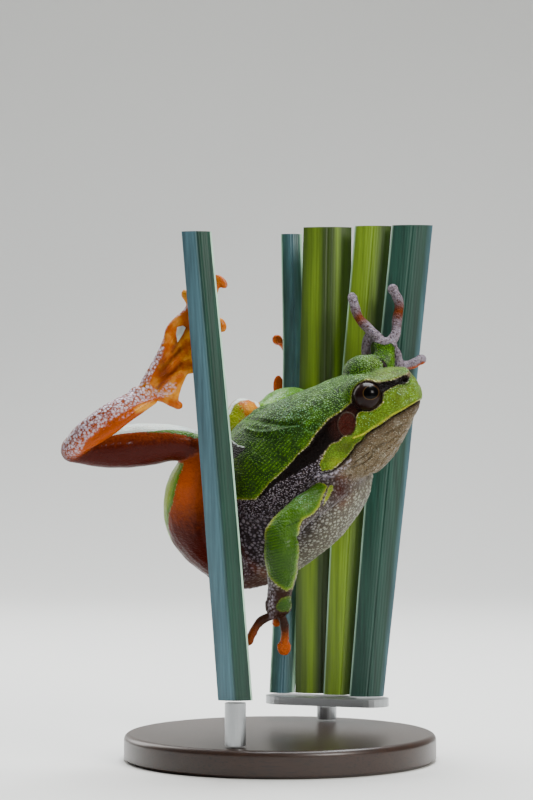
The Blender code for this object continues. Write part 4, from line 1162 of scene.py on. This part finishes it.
# The nodes in use: Blender's type, its settings, the sockets filled in order, and the output.
NODES = {
    "place": ("TexCoord", {}, (), "Object"),
    "normal": ("NewGeometry", {}, (), "Normal"),
    "attribute": ("Attribute", {}, (), "Fac"),
    "grow": ("VectorMath", {"operation": "SCALE"}, (0, "Scale"), "Vector"),
    "stretch": ("Mapping", {}, ("Vector", "Scale", "Rotation"), "Vector"),
    "upward": ("SeparateXYZ", {}, (0,), "Z"),
    "noise": ("TexNoise", {}, ("Vector", "Scale", "Detail", "Distortion"), "Fac"),
    "cells": ("TexVoronoi", {}, ("Vector", "Scale"), "Distance"),
    "times": ("Math", {"operation": "MULTIPLY"}, (0, 1), "Value"),
    "plus": ("Math", {"operation": "ADD"}, (0, 1), "Value"),
    "times_plus": ("Math", {"operation": "MULTIPLY_ADD"}, (0, 1, 2), "Value"),
    "unsigned": ("Math", {"operation": "ABSOLUTE"}, (0,), "Value"),
    "wave": ("Math", {"operation": "SINE"}, (0,), "Value"),
    "range": ("MapRange", {}, ("Value", "From Min", "From Max", "To Min", "To Max"), "Result"),
    "soft": ("MapRange", {"interpolation_type": "SMOOTHSTEP"},
             ("Value", "From Min", "From Max", "To Max"), "Result"),
    "between": ("Mix", {}, (0, 2, 3), 0),
    "colour": ("Mix", {"data_type": "RGBA"}, (0, 6, 7), 2),
    "ramp": ("ValToRGB", {}, ("Fac",), "Color"),
    "bump": ("Bump", {}, ("Height", "Strength", "Distance", "Normal"), "Normal"),
}


def rgba(value):
    return (*value, 1.0)


def fill(tree, made, values):
    """Gives sockets, by name or number, their values, or links other nodes' outputs to them."""
    for name, value in values.items():
        socket = made.inputs[name]
        if isinstance(value, bpy.types.NodeSocket):
            tree.links.new(value, socket)
        elif socket.type == "RGBA":
            socket.default_value = rgba(value)
        else:
            socket.default_value = value


def node(tree, name, *values, **settings):
    """Adds a node of the table with its settings and links, and gives its output."""
    kind, fixed, sockets, output = NODES[name]
    made = tree.nodes.new("ShaderNode" + kind)
    for setting, value in {**fixed, **settings}.items():
        setattr(made, setting, value)
    fill(tree, made, dict(zip(sockets, values)))
    return made.outputs[output]


def blank(name):
    """A material with a Principled surface, and its tree."""
    material = bpy.data.materials.new(name)
    material.use_nodes = True
    return material, material.node_tree, material.node_tree.nodes["Principled BSDF"]


def set_stops(ramp, stops):
    for k, (position, tone) in enumerate(stops):
        stop = ramp.elements[k] if k < 2 else ramp.elements.new(position)
        stop.position = position
        stop.color = rgba(tone)


def frog_skin_material(look):
    """Moist amphibian skin: thin clear mucus over finely granular skin, so a soft sheen on bumps."""
    material, tree, surface = blank("moist_granular_frog_skin")
    add = partial(node, tree)
    f = SimpleNamespace(**{name: add("attribute", attribute_name=name)
                           for name in FIELDS + ("pebble", "socket")})
    in_mm = add("grow", add("place"), 1000.0)

    # Skin grains are 0.26 mm apart and drawn out along the body, blotches are about 1.5 mm.
    grains = add("cells", add("stretch", in_mm, (3.2, 5.2, 4.6), (0.0, 0.6, 0.3)), 1.0)
    blotch = add("noise", in_mm, 0.7, 4.0)
    speck = add("noise", in_mm, 2.6, 3.0)
    ragged = add("times_plus", speck, 0.5, -0.25)
    # Which way the skin faces up: the painted sky sheen and the eardrum's painted highlight follow it.
    upward = add("upward", add("normal"))

    # The bare skin of flank, belly, throat, legs, webs and hands.
    top = add("soft", f.pebble, 0.05, 0.6)
    grain_top = add("soft", grains, 0.5, 0.12)
    pebbled = add("times", top, add("soft", speck, 0.1, 0.5, 0.65))
    peppered = add("times", add("soft", grains, 0.5, 0.25), add("soft", speck, 0.25, 0.45))
    mottles = add("times", add("soft", speck, 0.35, 0.65), grain_top)
    mottles = add("plus", mottles, add("soft", blotch, 0.5, 0.7, 0.4))
    reddish = add("soft", add("plus", f.red, ragged), 0.0, 0.9)
    pale = add("plus", add("times", f.pebble, f.grain), add("times", speck, speck))
    skin = add("colour", add("between", f.pepper, pebbled, peppered), look.flank,
               look.flank_grain)
    for share, above in (
            (f.belly, add("colour", top, look.belly, look.belly_grain)),
            (f.throat, add("colour", mottles, look.throat_spots, look.throat)),
            (f.orange, add("colour", reddish, look.orange, look.red_brown)),
            (f.web, add("colour", add("soft", blotch, 0.42, 0.62), look.web, look.web_light)),
            (f.bright, look.web_light),
            (f.brown, look.brown),
            (add("times", f.lilac, add("soft", pale, 0.2, 0.75)), look.lilac),
            (f.disc, look.disc),
            (add("times", f.pale, add("soft", speck, 0.2, 0.6)), look.pale)):
        skin = add("colour", share, skin, above)

    # The green skin, with painted shade in its furrows and folds, painted sky sheen on its
    # upward-facing grains, painted blue-green sheen and its yellowish rim.
    edge = add("plus", f.green, ragged)
    speckled = add("between", add("range", f.shine, 0.4, 0.65, 0.0, 0.7), grain_top, 0.55)
    light = add("plus", speckled, add("soft", blotch, 0.35, 0.75, 0.4))
    row = add("wave", add("times_plus", speck, 3.0, f.phase))
    sky_sheen_grains = add("times", add("soft", grains, 0.3, 0.14), add("soft", blotch, 0.3, 0.6))
    sky_sheen_grains = add("times", sky_sheen_grains, add("soft", upward, 0.0, 0.9))
    bloom_grains = add("times", f.bloom, add("soft", grains, 0.4, 0.15))
    green = add("colour", add("times", light, add("soft", edge, -0.2, 0.5)), look.deep_green_and_shade,
                look.green)
    for share, above in (
            (add("times", add("soft", row, 0.2, -0.5, 0.8), f.rows), look.deep_green_and_shade),
            (f.deep, look.deep_green_and_shade),
            (add("times", sky_sheen_grains, f.fine), look.sky_sheen),
            (add("times", bloom_grains, add("soft", speck, 0.4, 0.6)), look.bloom),
            (add("times", add("soft", edge, 0.36, 0.05, 0.75), f.edge), look.rim),
            (f.lip, look.lip)):
        green = add("colour", share, green, above)

    # The green over the bare skin, then its cream line, the painted white highlights, the dark stripe
    # with the painted shadow between rump and thigh, and the head, with a painted highlight on the
    # eardrum's rim and painted shade in the mouth line, the nostril and round the eyes.
    line = add("times", add("soft", add("unsigned", edge), 0.12, 0.03), f.edge)
    # A painted highlight on the eardrum's rim, where it faces up.
    ring = add("soft", add("unsigned", f.drum), 0.14, 0.04, 0.22)
    around_drum = add("times", add("soft", f.drum, -2.0, -0.1, 0.5), add("soft", f.dark, 0.1, 0.5))
    for share, above in (
            (add("soft", edge, -0.05, 0.05), green),
            (add("times", line, add("soft", grains, 0.6, 0.2)), look.cream),
            (add("soft", f.white, 0.35, 0.65), look.white),
            (add("soft", add("plus", f.dark, ragged), -0.05, 0.15), look.stripe),
            (around_drum, look.eardrum),
            (add("soft", f.drum, -0.05, 0.3),
             add("colour", add("soft", speck, 0.2, 0.7), look.red_brown, look.eardrum)),
            (add("times", ring, add("soft", upward, -0.3, 0.6)), look.throat),
            (add("times", f.crease, f.crease), look.stripe),
            (f.socket, look.stripe)):
        skin = add("colour", share, skin, above)

    # Dry pigment of the dark parts throws back little of the studio, the wet parts throw back more.
    rough = add("range", f.shine, 0.35, 0.7, 0.95, 0.4)
    fine = add("bump", grains, rough, 0.00024, invert=True)
    fill(tree, surface, {
        "Base Color": skin, "Roughness": add("range", f.shine, 0.0, 1.0, 0.5, 0.22),
        "Specular IOR Level": add("range", add("soft", edge, -0.1, 0.1), 0.0, 1.0, 0.06, 0.16),
        "Coat Weight": add("range", f.shine, 0.3, 1.0, 0.02, 0.2), "Coat Roughness": 0.16,
        "IOR": 1.4, "Subsurface Weight": 0.12, "Subsurface Radius": (0.0009, 0.0005, 0.0002),
        "Subsurface Scale": 1.0, "Normal": add("bump", speck, 0.5, 0.0002, fine)})
    return material


class FROG_OT_skin(bpy.types.Operator):
    """Makes the frog's skin in one piece, with its markings, over all the nodes of its flesh"""
    bl_idname = "tree_frog.skin"
    bl_label = "Frog skin"

    def execute(self, context):
        look = context.scene.frog_look
        mesh = shape_skin(look)
        skin = link_object("frog_skin", mesh)
        mesh.materials.append(frog_skin_material(look))
        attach(skin, "root")
        flesh = [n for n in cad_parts
                 if not n.startswith(("reed_", "stand_", "eye_"))]
        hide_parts(*flesh)
        return {"FINISHED"}


def eye_material(look):
    """Wet cornea over a dark iris: one clear, very smooth coat, so sharp highlights."""
    material, tree, surface = blank("wet_eye")
    add = partial(node, tree)
    rings = add("ramp", add("attribute", attribute_name="from_pupil"))
    set_stops(rings.node.color_ramp, (
        (0.49, look.pupil), (0.51, look.gold), (0.525, look.gold), (0.56, look.iris),
        (0.9, look.iris)))
    flecks = add("noise", add("grow", add("place"), 1000.0), 5.0, 4.0)
    tone = add("colour", add("range", flecks, 0.55, 0.8, 0.0, 0.35), rings,
               [c * 0.2 for c in look.gold], blend_type="ADD")
    fill(tree, surface, {
        "Base Color": tone, "Roughness": 0.3, "Specular IOR Level": 0.08, "IOR": 1.38,
        "Coat Weight": 0.14, "Coat Roughness": 0.04})
    return material


class FROG_OT_eyes(bpy.types.Operator):
    """Makes both eyeballs, with a bulging cornea over a flat oval pupil and its golden ring"""
    bl_idname = "tree_frog.eyes"
    bl_label = "Eyes"

    def execute(self, context):
        look = context.scene.eye_look
        material = eye_material(look)
        for name, side in (("eye_left", 1), ("eye_right", -1)):
            gaze = unit(np.array(EYE_GAZE) * (1, side, 1)) @ HEAD_AXES
            ahead = unit(HEAD_AXES[0] - gaze * (HEAD_AXES[0] @ gaze))
            third = np.cross(gaze, ahead)
            form = bmesh.new()
            bmesh.ops.create_uvsphere(form, u_segments=96, v_segments=64, radius=EYE_RADIUS * MM)
            mesh = bpy.data.meshes.new(name + "_ball")
            form.to_mesh(mesh)
            form.free()
            places, _ = read_mesh(mesh)
            turn = np.arccos(np.clip(places[:, 2] / (EYE_RADIUS * MM), -1, 1))
            places *= (1.0 + 0.05 * bell(turn, 0.55))[:, None]
            write_mesh(mesh, places)
            wide = places[:, 0] / (look.pupil_width / 2)
            tall = places[:, 1] / (look.pupil_height / 2)
            far = np.where(places[:, 2] > 0, 0.5 * np.sqrt(wide ** 2 + tall ** 2), 1.0)
            point_values(mesh, "from_pupil", np.minimum(far, 1.0))
            mesh.shade_smooth()
            eye = link_object(name + "_ball", mesh)
            axes = Matrix((ahead, third, gaze)).transposed().to_4x4()
            centre = head_place(EYE[0], side * EYE[1], EYE[2]) * MM
            eye.matrix_world = Matrix.Translation(centre) @ axes
            mesh.materials.append(material)
            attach(eye, "root")
            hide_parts(name)
        return {"FINISHED"}


# Reed blades: points of the middle line from the lower to the upper end, the widths there,
# thickness, hollow of the front, and the tones from the left edge to the right edge.
BLADES = {
    "reed_leaf_front": (
        [(-6.4, -18.5, 10.6), (-9.05, -18.5, 44.5), (-11.9, -18.5, 76.8)], (4.9, 4.7, 4.2), 1.0, 0.5,
        [(0.0, "slate"), (0.4, "slate"), (0.55, "shaded_slate"), (0.945, "shaded_slate"), (0.955, "edge"),
         (1.0, "edge")]),
    "reed_leaf_back_left": (
        [(0.4, 18.2, 8.0), (1.7, 21.6, 36.0), (2.4, 24.2, 56.0), (1.9, 26.6, 79.0)],
        (3.9, 3.9, 3.8, 3.3), 0.9, 0.4,
        [(0.0, "edge"), (0.08, "blue_green"), (0.5, "slate"), (0.86, "blue_green"), (0.95, "edge")]),
    "reed_leaf_back_wide": (
        [(6.6, 17.6, 8.0), (6.8, 18.0, 40.0), (7.4, 18.6, 79.6)], (8.4, 8.2, 7.4), 1.1, 0.7,
        [(0.0, "olive"), (0.3, "yellow_green"), (0.42, "olive"), (0.6, "olive"), (0.72, "yellow_green"),
         (0.8, "olive"), (1.0, "olive")]),
    "reed_leaf_back_middle": (
        [(9.2, 15.4, 8.0), (11.0, 15.4, 40.0), (14.3, 15.4, 79.6)], (5.0, 5.6, 5.6), 1.0, 0.5,
        [(0.0, "edge"), (0.05, "yellow_green"), (0.5, "yellow_green"), (0.8, "olive"), (1.0, "olive")]),
    "reed_leaf_back_right": (
        [(13.2, 12.8, 8.0), (16.2, 13.0, 40.0), (20.2, 13.4, 79.6)], (5.2, 6.2, 6.2), 1.0, 0.5,
        [(0.0, "edge"), (0.05, "blue_green"), (0.6, "blue_green"), (0.85, "shaded_slate"),
         (1.0, "slate")]),
}


def blade_mesh(name, line, widths, thick, hollow, vein, stations=110, across=72):
    """A reed leaf with fine ridges along it, its place across kept as an attribute."""
    rows = along(line, stations)
    sizes = np.interp(np.linspace(0, 1, stations), np.linspace(0, 1, len(widths)), widths)
    share = np.linspace(-1.0, 1.0, across)
    half = thick / 2 * (0.22 + 0.78 * (1 - share ** 2))
    bend = hollow * share ** 2
    rings = []
    for place, width in zip(rows, sizes):
        ridges = 0.035 * np.abs(np.sin(share * width / 2 * math.pi / vein)) * (1 - share ** 4)
        keel = 0.10 * bell(share, 0.05)
        faces = [np.column_stack([share * width / 2, bend + keel + side * (half + ridges), 0 * share])
                 for side in (-1, 1)]
        rings.append(place + np.concatenate([faces[0], faces[1][::-1]]))
    blade = new_object(name, *skin_rings(rings), scale=MM)
    both = np.concatenate([share, share[::-1]]) * 0.5 + 0.5
    point_values(blade.data, "across", np.tile(both, stations))
    blade.data.shade_smooth()
    blade.data.set_sharp_from_angle(angle=math.radians(60))
    return blade


def leaf_material(name, tones, look):
    """Living reed leaf: waxy skin over parallel veins, so a satin surface with long fine streaks."""
    material, tree, surface = blank(name + "_waxy_leaf")
    add = partial(node, tree)
    in_mm = add("grow", add("place"), 1000.0)
    # Streaks 0.4 mm wide and 12 mm long, and cross bars too fine to count.
    streaks = add("noise", add("stretch", in_mm, (1.5, 1.5, 0.05)), 1.0, 4.0)
    bars = add("noise", add("stretch", in_mm, (4.2, 4.2, 1.4)), 1.0, 2.0)
    colours = add("ramp", add("attribute", attribute_name="across"))
    set_stops(colours.node.color_ramp, [(at, getattr(look, tone)) for at, tone in tones])
    fine = add("bump", bars, 0.3, 0.00006)
    fill(tree, surface, {
        "Base Color": add("grow", colours, add("range", streaks, 0.3, 0.7, 0.62, 1.25)),
        "Roughness": 0.42, "IOR": 1.45, "Coat Weight": 0.15, "Coat Roughness": 0.3,
        "Normal": add("bump", streaks, 0.5, 0.0001, fine)})
    return material


class REED_OT_blades(bpy.types.Operator):
    """Makes the five reed blades that the frog holds, with veins and pale edges"""
    bl_idname = "tree_frog.blades"
    bl_label = "Reed blades"

    def execute(self, context):
        look = context.scene.reed_look
        for name, (line, widths, thick, hollow, tones) in BLADES.items():
            blade = blade_mesh(name + "_veined", line, widths, thick, hollow, look.vein_spacing / MM)
            blade.data.materials.append(leaf_material(name, tones, look))
            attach(blade, "root")
            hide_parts(name)
        return {"FINISHED"}


def walnut_material(look):
    """Turned walnut, oiled: dark long pores, low sheen."""
    material, tree, surface = blank("oiled_walnut")
    add = partial(node, tree)
    in_mm = add("grow", add("place"), 1000.0)
    # Growth rings about 2 mm apart, pores 0.2 mm wide and 3 mm long.
    rings = add("noise", add("stretch", in_mm, (0.06, 0.5, 0.5)), 1.0, 3.0, 0.4)
    pores = add("noise", add("stretch", in_mm, (0.35, 5.0, 5.0)), 1.0, 2.0)
    tone = add("colour", rings, look.wood, [c * 0.45 for c in look.wood])
    tone = add("colour", add("range", pores, 0.52, 0.7), tone, look.wood_grain)
    fill(tree, surface, {
        "Base Color": tone, "Roughness": 0.38, "Coat Weight": 0.25, "Coat Roughness": 0.25,
        "Normal": add("bump", pores, 0.3, 0.00005, invert=True)})
    return material


def steel_material(look):
    """Brushed stainless steel: fine turned lines, so a stretched highlight."""
    material, tree, surface = blank("brushed_steel")
    add = partial(node, tree)
    # Brush lines 0.08 mm apart, drawn at 0.2 mm so that they show.
    in_mm = add("grow", add("place"), 1000.0)
    brushed = add("noise", add("stretch", in_mm, (0.3, 0.3, 5.0)), 1.0, 2.0)
    fill(tree, surface, {
        "Base Color": look.steel, "Metallic": 1.0,
        "Roughness": add("range", brushed, 0.0, 1.0, 0.24, 0.42),
        "Normal": add("bump", brushed, 0.15, 0.00004)})
    return material


class STAND_OT_dress(bpy.types.Operator):
    """Makes the turned base with its soft edge, and gives the rods and shoe their steel"""
    bl_idname = "tree_frog.stand"
    bl_label = "Stand"

    def execute(self, context):
        look = context.scene.stand_look
        _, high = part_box("stand_base")
        radius, height = high.x, high.z
        edge, foot = 0.9 * MM, 0.5 * MM
        profile = [(0.0, 0.0), (radius - 1.2 * foot, 0.0), (radius, foot)]
        for k in range(9):
            angle = k * math.pi / 16
            inward, below = edge * (1 - math.cos(angle)), edge * (1 - math.sin(angle))
            profile.append((radius - inward, height - below))
        profile.append((0.0, height))
        rings = []
        turn = np.linspace(0.0, 2 * math.pi, 160, endpoint=False)
        for away, level in profile:
            away = max(away, 0.0002)
            rings.append(np.column_stack([np.cos(turn) * away, np.sin(turn) * away, 0 * turn + level]))
        base = new_object("stand_base_turned", *skin_rings(rings))
        base.data.shade_smooth()
        base.data.set_sharp_from_angle(angle=math.radians(40))
        base.data.materials.append(walnut_material(look))
        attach(base, "root")
        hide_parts("stand_base")
        steel = steel_material(look)
        for name in ("stand_rod_front", "stand_rod_back", "stand_shoe_back"):
            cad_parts[name].data.materials.clear()
            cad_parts[name].data.materials.append(steel)
        return {"FINISHED"}


def light(name, place, target, size, energy, tone):
    lamp = bpy.data.lights.new(name, "AREA")
    lamp.shape = "RECTANGLE"
    lamp.size, lamp.size_y = size
    lamp.energy = energy
    lamp.color = tone
    thing = link_object(name, lamp)
    thing.location = place
    way = Vector(target) - Vector(place)
    thing.rotation_euler = way.to_track_quat("-Z", "Y").to_euler()


class STUDIO_OT_stage(bpy.types.Operator):
    """Sets the pale floor and backdrop, the soft lights and the camera"""
    bl_idname = "tree_frog.stage"
    bl_label = "Studio"

    def execute(self, context):
        look = context.scene.stand_look
        material, tree, surface = blank("matt_studio_paper")
        fill(tree, surface, {"Base Color": look.floor, "Roughness": 0.9})
        profile = [(-1.2, 0.0), (0.35, 0.0)]
        for k in range(1, 17):
            angle = k / 16 * math.pi / 2
            profile.append((0.35 + 0.25 * math.sin(angle), 0.25 - 0.25 * math.cos(angle)))
        profile.append((0.6, 1.4))
        points = [(x, y, z) for y, z in profile for x in (-1.6, 1.6)]
        faces = [(2 * k, 2 * k + 1, 2 * k + 3, 2 * k + 2) for k in range(len(profile) - 1)]
        floor = new_object("studio_floor", points, faces)
        floor.data.shade_smooth()
        floor.data.materials.append(material)

        world = bpy.data.worlds.new("studio_air")
        world.use_nodes = True
        fill(world.node_tree, world.node_tree.nodes["Background"], {
            "Color": (0.86, 0.9, 0.95), "Strength": 0.16})
        context.scene.world = world
        middle = (0.0, 0.0, 0.045)
        light("soft_top", (0.03, 0.1, 0.42), middle, (0.3, 0.3), 4.9, (0.93, 0.97, 1.0))
        light("soft_key", (0.26, -0.3, 0.26), middle, (0.16, 0.16), 1.5, (1.0, 0.97, 0.92))
        light("soft_back", (-0.26, 0.26, 0.22), middle, (0.2, 0.3), 1.0, (1.0, 0.98, 0.95))

        lens = bpy.data.cameras.new("camera")
        lens.sensor_width = SENSOR
        lens.lens = FOCUS * SENSOR / PICTURE[1]
        camera = link_object("camera", lens)
        camera.location = Vector(CAMERA * MM)
        camera.rotation_euler = (math.pi / 2, 0.0, 0.0)
        context.scene.camera = camera
        return {"FINISHED"}


class FROG_PT_panel(bpy.types.Panel):
    """Lists the pieces of the display model"""
    bl_idname = "FROG_PT_panel"
    bl_label = "Tree Frog"
    bl_space_type = "VIEW_3D"
    bl_region_type = "UI"
    bl_category = "Tree Frog"

    def draw(self, context):
        for kind in OPERATORS:
            self.layout.operator(kind.bl_idname)
        for group in GROUPS:
            settings = getattr(context.scene, group)
            for name in settings.__annotations__:
                self.layout.prop(settings, name)


GROUPS = {"frog_look": FrogLook, "eye_look": EyeLook, "reed_look": ReedLook, "stand_look": StandLook}
OPERATORS = (FROG_OT_skin, FROG_OT_eyes, REED_OT_blades, STAND_OT_dress, STUDIO_OT_stage)


def register():
    for kind in (*GROUPS.values(), *OPERATORS, FROG_PT_panel):
        bpy.utils.register_class(kind)
    for name, group in GROUPS.items():
        setattr(bpy.types.Scene, name, bpy.props.PointerProperty(type=group))


def unregister():
    for name in GROUPS:
        delattr(bpy.types.Scene, name)
    for kind in reversed((*GROUPS.values(), *OPERATORS, FROG_PT_panel)):
        bpy.utils.unregister_class(kind)


def main():
    register()
    bpy.ops.tree_frog.skin()
    bpy.ops.tree_frog.eyes()
    bpy.ops.tree_frog.blades()
    bpy.ops.tree_frog.stand()
    bpy.ops.tree_frog.stage()


if __name__ == "__main__":
    main()
